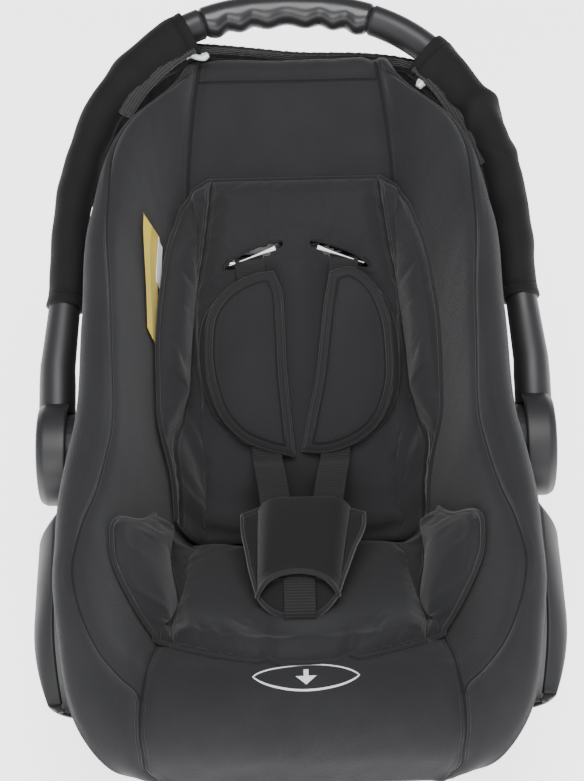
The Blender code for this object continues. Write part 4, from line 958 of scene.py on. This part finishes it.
def even(path, count):
    """The same line with its points at equal lengths."""
    run = run_along(path)
    return np.column_stack([np.interp(np.linspace(0, run[-1], count), run,
                                      path[:, k]) for k in range(path.shape[1])])


def arch_tube(path, in_plane, across, inner=0.0, swell=0.0, sides=36):
    """Oval rings square to an (x, r) path in the handle's plane; inner widens the side that faces the
    pivot."""
    way = np.gradient(path, axis=0)
    way /= np.linalg.norm(way, axis=1, keepdims=True)
    inward = np.column_stack([way[:, 1], -way[:, 0]])
    angle = np.linspace(0, 2 * math.pi, sides, endpoint=False)
    wide = np.broadcast_to(in_plane, len(path))[:, None] + swell
    reach = wide * np.cos(angle) + np.broadcast_to(inner, len(path))[:, None] * np.clip(np.cos(angle), 0,
                                                                                        1) ** 0.8
    side = -(np.broadcast_to(across, len(path))[:, None] + swell) * np.sin(angle)
    flat = path[:, None] + inward[:, None] * reach[..., None]
    points = pivot + flat[..., :1] * (1, 0, 0) + flat[..., 1:] * arch_way + side[..., None] * arch_across
    run = run_along(path)
    return points, np.stack(np.meshgrid(run, np.linspace(0, 92, sides + 1), indexing="ij"), -1)


handle_plastic = moulded("handle_plastic", (0.012, 0.012, 0.013), 0.5)
grip_plastic = moulded("grip_plastic", (0.014, 0.014, 0.015), 0.34, 0.02, 0.12)
limb_r = np.linspace(32, 145, 40)
limb = np.column_stack([np.interp(limb_r, [74, 145], [198, 191]), limb_r])
whole = np.vstack([limb[:-1] * (-1, 1), arch_path(-89.9, 89.9, 400), limb[:-1][::-1]])
whole = even(whole, 380)
under_grip = ramp(np.abs(whole[:, 0]), 73, 2.0)
under_grip = np.where(whole[:, 1] < 300, 1.0, under_grip)
flare = 2.2 * np.clip((150 - whole[:, 1]) / 90, 0, 1) ** 1.5
tube_points, tube_uv = arch_tube(whole, 10.5 + 2.5 * under_grip + flare, 11 + 5 * under_grip + flare * 0.5)
tube = joined("handle_tube", [capped(tube_points, tube_uv)], handle_plastic)
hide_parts("handle_frame")
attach(tube, "handle")

grip_line = arch_path(-arch_angle(74), arch_angle(74), 260)
scallop = np.abs(np.sin(np.linspace(0, 6 * math.pi, 260))) ** 1.5 * 3.6 - 0.6
to_end = np.clip(np.minimum(np.arange(260), np.arange(259, -1, -1)) / 6, 0, 1) ** 0.5
grip_points, grip_uv = arch_tube(grip_line, 11.2 + 2.4 * to_end, 12.0 + 3.0 * to_end, scallop * to_end)
grip = joined("handle_grip_sleeve", [capped(grip_points, grip_uv)], grip_plastic)
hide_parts("handle_grip")
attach(grip, "handle")


def lathe(name, profile, side, material, sides=72, closed=False):
    """Round piece about the pivot axis from (out, radius) points: a closed ring, or drawn in to the axis."""
    out_way, up = np.array([1.0, 0, 0]) * side, np.array([0, 0, 1.0])
    other = np.cross(out_way, up)
    angle = np.linspace(0, 2 * math.pi, sides, endpoint=False)
    out, radius = np.array(profile, float).T
    ring = up * np.cos(angle)[:, None] - other * np.sin(angle)[:, None]
    points = pivot + out[:, None, None] * out_way + radius[:, None, None] * ring
    run = np.append(0, np.cumsum(np.hypot(np.diff(out), np.diff(radius))))
    run = np.append(run, run[-1] + 5) if closed else run
    uv = np.stack(np.meshgrid(run, np.linspace(0, 2 * math.pi * radius.max(), sides + 1), indexing="ij"),
                  -1)
    return surface(name, points, uv, material, closed=closed, ring=True)


def rounded(profile, radius=1.2, steps=5):
    """A profile with each of its inner corners turned into an arc-like bend."""
    profile = np.array(profile, float)
    out = [profile[0]]
    for before, here, after in zip(profile, profile[1:], profile[2:]):
        a, b = before - here, after - here
        la, lb = np.linalg.norm(a), np.linalg.norm(b)
        reach = min(radius, la * 0.49, lb * 0.49)
        first, last = here + a / la * reach, here + b / lb * reach
        for t in np.linspace(0, 1, steps):
            out.append((1 - t) ** 2 * first + 2 * t * (1 - t) * here + t ** 2 * last)
    return np.array(out + [profile[-1]])


for label, side in both_sides:
    outside = rounded([(187, 39.5), (187, 41.5), (188.5, 42.5), (206, 42.5), (211, 39.5), (212, 34),
                       (212, 16.6),
                       (209, 16.6)], 2.0)
    inside = np.array([(209, 34), (202, 34), (202, 4.4), (199, 4.4), (199, 28), (193, 28), (193, 39.5)],
                      float)
    hub = lathe("hub_" + label, np.vstack([outside, inside]), side, handle_plastic, closed=True)
    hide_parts("handle_hub_" + label)
    button_profile = rounded([(211, 0.0), (211, 9.5), (207.4, 9.5), (207.4, 15.8), (212.6, 15.8),
                              (214, 13.6),
                              (213.7, 8), (213.5, 0.0)], 1.2)
    button = lathe("button_" + label, button_profile, side, handle_plastic)
    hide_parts("handle_button_" + label)
    for thing, body_name in ((hub, "handle"), (button, "button_" + label)):
        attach(thing, body_name)

# ================================================================ hood and its sleeves
# Thin hood folded behind the head. Its two edges are sleeves on the handle with stitched cuffs, gathered
# elastic bands run along their inner sides, and a gathered hem sags between two clear hooks under the grip.
hood_cloth = woven("hood_cloth", (0.0024, 0.0024, 0.0027), 1.1, sheen=0.03, seams=("hem",), depth=0.07)
band_cloth, band_node, start = shader("band_cloth", (0.0105, 0.0105, 0.0112), 0.8, Sheen_Weight=0.25)
band_u, band_v = flat_uv(start)
lane_line = (band_v * (2 * math.pi / 2.6)).math("SINE")
band_height = lane_line * 0.45 + (band_u * (2 * math.pi / 1.7)).math("SINE") * 0.2 + noise(start, band_u,
                                                                                           band_v,
                                                                                           0.5) * 0.4
feed(band_node, Base_Color=lane_line.step(-0.7, 0.4).mixed((0.003, 0.003, 0.0034, 1),
                                                           (0.016, 0.016, 0.017, 1)),
     Normal=bump(start, band_height, 1.0, 0.9))


def ribbed_band(name, path, side, wide, thick, rib):
    """Elastic band gathered into close cross ribs, along a path."""
    run = run_along(path)
    gather = 1 + 0.14 * np.sin(run * 2 * math.pi / rib) + 0.1 * np.sin(run * 2 * math.pi / (rib * 2.7) + 1)
    grid = capped(*sweep(path, side, wide + 0.3 * np.sin(run * 2 * math.pi / (rib * 1.6)), thick * gather,
                         4.0, 20))
    band = joined(name, [grid], band_cloth)
    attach(band, "handle")


for label, first, last in (("left", -87.5, arch_angle(-88)), ("right", arch_angle(124), 87.5)):
    low_end = limb[limb[:, 1] > 127] * ((-1 if label == "left" else 1), 1)
    line = arch_path(first, last, 400)
    line = even(np.vstack([low_end, line] if label == "left" else [line, low_end[::-1]]), 250)
    run = run_along(line)
    from_top = run[-1] - run if label == "left" else run
    from_cuff = run if label == "left" else run[-1] - run
    around = np.linspace(0, 2 * math.pi, 40, endpoint=False)
    wrinkle = 0
    folds = {"left": [(22, 0.5, 1.6, 9), (60, -0.4, 1.3, 12), (120, 0.6, 1.2, 14), (175, -0.5, 1.0, 12)],
             "right": [(16, 0.6, 2.4, 9), (52, -0.9, 2.2, 10), (88, 1.0, 3.2, 9), (104, -0.8, 2.6, 8),
                       (150, 0.5, 1.3, 14),
                       (190, -0.6, 1.2, 14)]}[label]
    for place, slant, high, broad in folds:
        off = (from_top[:, None] - place - slant * 22 * np.sin(around)[None]
               - 10 * np.cos(around)[None] * slant)
        wrinkle = wrinkle + high * np.exp(-(off / broad) ** 2)
    wrinkle = wrinkle + 0.6 * ripple(run[:, None] + 0 * around[None], 16 * around[None] + 0 * run[:, None],
                                     5, 26.0)
    wrinkle = wrinkle * np.clip(np.minimum(from_cuff, from_top) / 10, 0, 1)[:, None]
    cuff = 1.3 * bell(from_cuff, 0, 7) + 1.6 * bell(from_top, 0, 6)
    web = 11.0 * bell(from_top, 12, 60) + 2.0
    points, uv = arch_tube(line, 14.6 + cuff, 17.4 + cuff, web, wrinkle, 40)
    hem = np.minimum(from_cuff - 9, from_top - 9)
    hem_values = np.repeat(hem[:, None], 40, 1)
    points, uv = capped(points, uv)
    sleeve = surface("hood_sleeve_" + label, points, uv, hood_cloth, ring=True,
                     extra={"hem": np.pad(hem_values, ((1, 1), (0, 0)), "edge")})
    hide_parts("canopy_sleeve_" + label)
    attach(sleeve, "handle")
    stop_x = 160 if label == "left" else 181
    begin_x = 92 if label == "left" else 127
    sign = -1 if label == "left" else 1
    xs = sign * np.linspace(begin_x, stop_x, 90)
    lane = np.column_stack([xs, arch_radius(xs)])
    lane_way = np.gradient(lane, axis=0)
    lane_way /= np.linalg.norm(lane_way, axis=1, keepdims=True)
    lane_in = sign * np.column_stack([lane_way[:, 1], -lane_way[:, 0]])
    spot = lane + lane_in * 21.0
    band_path = pivot + spot[:, :1] * (1, 0, 0) + spot[:, 1:] * arch_way + 9.0 * arch_across
    ribbed_band("hood_band_" + label, band_path, lane_in @ np.array([[1, 0, 0], arch_way]), 6.5, 1.7, 3.2)

x_line = np.linspace(-176, 176, 260)
share_line = np.linspace(0, 1, 54)
share, x_hood = np.meshgrid(share_line, x_line, indexing="ij")
sag = 25 * np.clip(1 - ((x_hood - 18) / 106) ** 2, 0, 1)
arch = arch_radius(x_hood)
side_reach = ramp(np.abs(x_hood), 100, 35)
turn = rest_angle - 22.5 / arch - sag * 0.0007 - math.radians(19) * share
radius = (arch - 4 - sag) * (1 - (0.07 + 0.075 * side_reach) * share ** 1.6)
gathers = np.sin(x_hood * 2 * math.pi / 9.0 + 2.0 * np.sin(x_hood / 31)) * bell(share, 0.3, 0.2) * 0.7
gathers += 1.6 * ripple(x_hood, share * 150, 7, 34.0) * np.clip(share * 4, 0, 1)
radius = radius + gathers
hood_top = np.stack([x_hood, pivot[1] + radius * np.cos(turn), pivot[2] + radius * np.sin(turn)], -1)
hood_low = hood_top - normals(hood_top) * 1.1
hood_uv = np.stack([lengths(hood_top, 1), lengths(hood_top, 0)], -1)
hood_points, hood_ring = shell_of(hood_top, hood_low, hood_uv)
hood_values = np.repeat((hood_uv[..., 1] - 12)[:, :1], hood_points.shape[1], 1)
hood = surface("hood_panel", hood_points, hood_ring, hood_cloth, ring=True, extra={"hem": hood_values})
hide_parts("canopy_panel")
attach(hood, "handle")
hem_lane = hood_top[2][44:-30] + (0, -1.5, 2.0)
ribbed_band("hood_hem", hem_lane, hood_top[8][44:-30] - hood_top[0][44:-30], 6.2, 1.7, 5.0)

clear = shader("clear_plastic", (0.9, 0.92, 0.92), 0.06, Transmission_Weight=0.45, IOR=1.45,
               Coat_Weight=0.6)[0]
for label, x, lean in (("left", -81.0, 0.1), ("right", 122.0, -0.7)):
    r = arch_radius(x) - 31
    middle_at = pivot + np.array([x, 0, 0]) + r * arch_way + 6 * arch_across
    t = np.linspace(0, 1, 60)
    run_way = np.array([math.cos(lean), 0, 0]) - math.sin(lean) * arch_way * (1 if x > 0 else -1)
    hook_path = middle_at + (t[:, None] - 0.5) * 24 * run_way + 2.2 * np.sin(t * 2 * math.pi)[:,
                                                                                              None] * arch_way
    hook_wide = 2.4 + 2.2 * bell(t, 0.2, 0.16) + 1.2 * bell(t, 0.85, 0.1)
    hook = joined("hood_hook_" + label, [capped(*sweep(hook_path, arch_way, hook_wide, 2.2, 2.6, 20))],
                  clear)
    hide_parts("canopy_clip_" + label)
    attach(hook, "handle")

# ================================================================ rocker sides
# Moulded side panels under the rim. The foot is flat in the middle and curves up at both ends, and the
# front end swells into a rounded ear beside the nose.
shell_plastic = moulded("shell_plastic", (0.0125, 0.0125, 0.0135), 0.55, 0.06)


def rocker_face(y, share):
    """Outer face of the right side: y along it and share from the foot up to the top edge."""
    front = 1.07 * np.maximum(-95 - y, 0)
    rear = np.clip(y - 75, 0, 227)
    foot = np.hypot(front, 20) - 20 + 300 * (1 - np.sqrt(1 - (rear / 228) ** 2))
    crest_z = eased(y, [(-256, 178), (-203, 224), (-145, 250), (-85, 266), (-50, 277), (40, 304),
                        (140, 333.5),
                        (226, 359.5), (267, 364.5), (283, 364.5)])
    crest_half = eased(y, [(-256, 173), (-203, 188), (-145, 190.5), (-85, 185), (-50, 178.5), (40, 174.5),
                           (140, 169.5),
                           (226, 140), (267, 100), (283, 90)])
    ear = np.clip((-78 - y) / 24, 0, 1)
    ear = ear * ear * (3 - 2 * ear)
    top = np.maximum(crest_z - 37 - 16 * ear - 20 * ramp(y, 190, 60), foot + 14)
    half = np.where(y < -60, np.maximum(crest_half - 5.5, 168), crest_half - 5.5)
    blunt = 1 - np.clip((-170 - y) / 95, 0, 1) ** 2.2
    reach = 36 * blunt + 6 * (1 - blunt)
    swell = np.sin(np.clip(share / 0.8, 0, 1) * math.pi / 2) ** 0.8
    swell = np.where(share > 0.8, np.sqrt(1 - ramp(share, 0.8, 0.2) ** 2 * 0.75), swell)
    x = (half - 10 * (1 - share) ** 2) * (1 - ear) + (176 + reach * swell) * ear
    return np.stack([x, y, foot + (top - foot) * share], -1)


for label, side in both_sides:
    y_line = np.concatenate([np.linspace(-252, -76, 90)[:-1], np.linspace(-76, 276, 90)])
    share_at = np.concatenate([np.linspace(0, 0.2, 12)[:-1], np.linspace(0.2, 1, 50)])
    y_grid, share_grid = np.meshgrid(y_line, share_at, indexing="ij")
    outer = rocker_face(y_grid, share_grid)
    inward = np.cross(np.gradient(outer, axis=1), np.gradient(outer, axis=0))
    inward /= np.linalg.norm(inward, axis=2, keepdims=True)
    inner = outer + inward * 3.2
    flange = np.stack([outer[:, 0] - (f, 0, 0) for f in (20, 10)], 1)
    outer = np.concatenate([flange, outer], 1)
    inner = np.concatenate([flange + (0, 0, 3.0), inner], 1)
    inner[:, 2] = outer[:, 2] + (-3.0, 0, 3.0)
    uv = np.stack([lengths(outer, 1), lengths(outer, 0)], -1)
    if side < 0:
        outer, inner = outer * (-1, 1, 1), inner * (-1, 1, 1)
        panel_points, panel_uv = shell_of(outer, inner, uv)
    else:
        panel_points, panel_uv = shell_of(outer[::-1], inner[::-1], uv[::-1])
    panel = weld(surface("rocker_panel_" + label, panel_points, panel_uv, shell_plastic, ring=True))
    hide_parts("rocker_" + label)
    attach(panel, "seat")

# ================================================================ side tag
# Plain satin ribbon sewn into the insert's side seam, folded to show a yellow leaf and a white one.
# It lies on the cover and curls a little towards its free edge.
tag_cloth, tag_node, start = shader("tag_cloth", (0.83, 0.62, 0.012), 0.5, Sheen_Weight=0.3)
tag_u, tag_v = flat_uv(start)
dash = (tag_v * (2 * math.pi / 3.0)).math("SINE").step(-0.2, 0.2)
near_edge = (tag_u - 8.0).math("ABSOLUTE").step(6.6, 7.0)
feed(tag_node, Base_Color=(dash * near_edge).mixed((0.83, 0.62, 0.012, 1), (0.16, 0.11, 0.01, 1)))
white_cloth = shader("tag_white", (0.78, 0.78, 0.77), 0.5, Sheen_Weight=0.3)[0]
for name, cloth, s_ends, v_ends, lift in (("tag_yellow", tag_cloth, (425, 540), (-0.655, -0.572), 3.2),
                                         ("tag_white", white_cloth, (492, 536), (-0.60, -0.556), 2.4)):
    s_t, k_t = np.meshgrid(np.linspace(*s_ends, 60), np.linspace(0, 1, 16), indexing="ij")
    narrow = np.clip((s_t - s_ends[0]) / 100, 0, 1)
    v_t = v_ends[1] + (v_ends[0] - v_ends[1]) * k_t * (0.62 + 0.38 * narrow)
    curl = 2.6 * k_t ** 2 * np.sin((s_t - s_ends[0]) / 37) + 1.2 * k_t
    leaf_points = over_seat(s_t, v_t, lift + curl)
    leaf_points = leaf_points[:, ::-1]
    leaf_uv = np.stack([lengths(leaf_points, 1), lengths(leaf_points, 0)], -1)
    ribbon_points, ribbon_uv = shell_of(leaf_points, leaf_points - normals(leaf_points) * 0.7, leaf_uv)
    leaf_thing = surface(name, ribbon_points, ribbon_uv, cloth, ring=True)
    if name == "tag_yellow":
        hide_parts("side_tag")
    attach(leaf_thing, "seat")

# ================================================================ moulded and metal pieces left as packed
# Shell, foam, hub parts, buckle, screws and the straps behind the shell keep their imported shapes.
# Each takes a finish by the start of its node's name.
foam, foam_node, start = shader("bead_foam", (0.84, 0.84, 0.83), 0.75)
place = start.node("ShaderNodeTexCoord", output=3)
beads = start.node("ShaderNodeTexVoronoi", {"feature": "F1"}, {"Vector": place, "Scale": 330.0})
feed(foam_node, Normal=bump(start, beads, 0.6, 0.4),
     Base_Color=beads.step(0.0, 0.9).mixed((0.86, 0.86, 0.85, 1),
                                                                                         (0.72, 0.72, 0.71,
                                                                                          1)))
steel, steel_node, start = shader("zinc_steel", (0.58, 0.58, 0.59), 0.32, 1.0)
place = start.node("ShaderNodeTexCoord", output=3)
cloud = start.node("ShaderNodeTexNoise", inputs={"Vector": place, "Scale": 160.0, "Detail": 3.0})
feed(steel_node, Roughness=cloud.step(0.3, 0.7) * 0.18 + 0.24)
buckle_plastic = moulded("buckle_plastic", (0.018, 0.018, 0.019), 0.28, 0.02, 0.3)
red_plastic = moulded("red_plastic", (0.46, 0.018, 0.018), 0.25, 0.02, 0.4)
hook_plastic = moulded("hook_plastic", (0.045, 0.14, 0.46), 0.3, 0.03, 0.3)
acetal = moulded("acetal", (0.58, 0.58, 0.56), 0.4, 0.02)
finishes = [
    ("bucket_shell", shell_plastic), ("hub_base", shell_plastic), ("eps_liner", foam),
    ("belt_hook", hook_plastic),
    ("buckle_button", red_plastic), ("buckle_latch", steel), ("buckle_spring", steel),
    ("buckle_body", buckle_plastic),
    ("buckle_tongue", buckle_plastic), ("lock_gear", acetal), ("lock_spring", steel), ("pivot_bolt", steel),
    ("rocker_screw", steel), ("harness_yoke", steel), ("adjuster_frame", steel), ("adjuster_pin", steel),
    ("adjuster_spring", steel), ("adjuster_lever", buckle_plastic), ("crotch_anchor", steel),
    ("adjuster_strap", plain_web),
]
for node_name, node in frame["nodes"].items():
    if node.hide_render:
        continue
    found = [finish for start_of, finish in finishes if node_name.startswith(start_of)]
    if found:
        node.data.materials.clear()
        node.data.materials.append(found[0])

# ================================================================ camera, light and floor
# Pale studio: one seamless floor that glows a little, a broad soft light from above and the front,
# and weak fills from the sides.
direction = Vector((0.0, 0.682, -0.7313)).normalized()
up = Vector((0.0227, 0.7313, 0.682))
camera = bpy.data.objects.new("camera", bpy.data.cameras.new("camera"))
bpy.context.scene.collection.objects.link(camera)
right = direction.cross(up).normalized()
up = right.cross(direction)
turn = Matrix((right, up, -direction)).transposed().to_4x4()
camera.matrix_world = Matrix.Translation((-0.0025, -1.1985, 1.5040)) @ turn
camera.data.lens = 96.2
camera.data.sensor_width = 36.0
bpy.context.scene.camera = camera

floor_mesh = bpy.data.meshes.new("floor")
floor_mesh.from_pydata([(-25, -25, -0.0005), (25, -25, -0.0005), (25, 25, -0.0005), (-25, 25, -0.0005)], [],
                       [(0, 1, 2, 3)])
floor = bpy.data.objects.new("floor", floor_mesh)
bpy.context.scene.collection.objects.link(floor)
floor_paint, floor_node, _ = shader("floor_paint", (0.8, 0.8, 0.8), 0.9)
floor_node.inputs["Emission Color"].default_value = (0.93, 0.93, 0.94, 1)
floor_node.inputs["Emission Strength"].default_value = 2.8
floor_mesh.materials.append(floor_paint)

world_light = bpy.data.worlds.new("studio")
bpy.context.scene.world = world_light
world_light.use_nodes = True
world_light.node_tree.nodes["Background"].inputs[0].default_value = (0.92, 0.94, 1.0, 1)
world_light.node_tree.nodes["Background"].inputs[1].default_value = 0.45


def lamp(name, place, aim, size, power):
    """Area light at a place, aimed at a point."""
    light = bpy.data.lights.new(name, "AREA")
    light.shape = "RECTANGLE"
    light.size, light.size_y = size
    light.energy = power
    thing = bpy.data.objects.new(name, light)
    thing.location = place
    thing.rotation_euler = (Vector(aim) - Vector(place)).to_track_quat("-Z", "Y").to_euler()
    bpy.context.scene.collection.objects.link(thing)


lamp("overhead", (0.1, -0.5, 2.5), (0, 0, 0.2), (1.6, 1.2), 62.0)
lamp("front", (-0.3, -2.3, 1.4), (0, 0, 0.2), (1.5, 1.2), 36.0)
lamp("left_side", (-2.2, -0.4, 0.9), (0, 0, 0.2), (1.2, 1.2), 4.0)
lamp("right_side", (2.2, -0.4, 0.9), (0, 0, 0.2), (1.2, 1.2), 6.0)
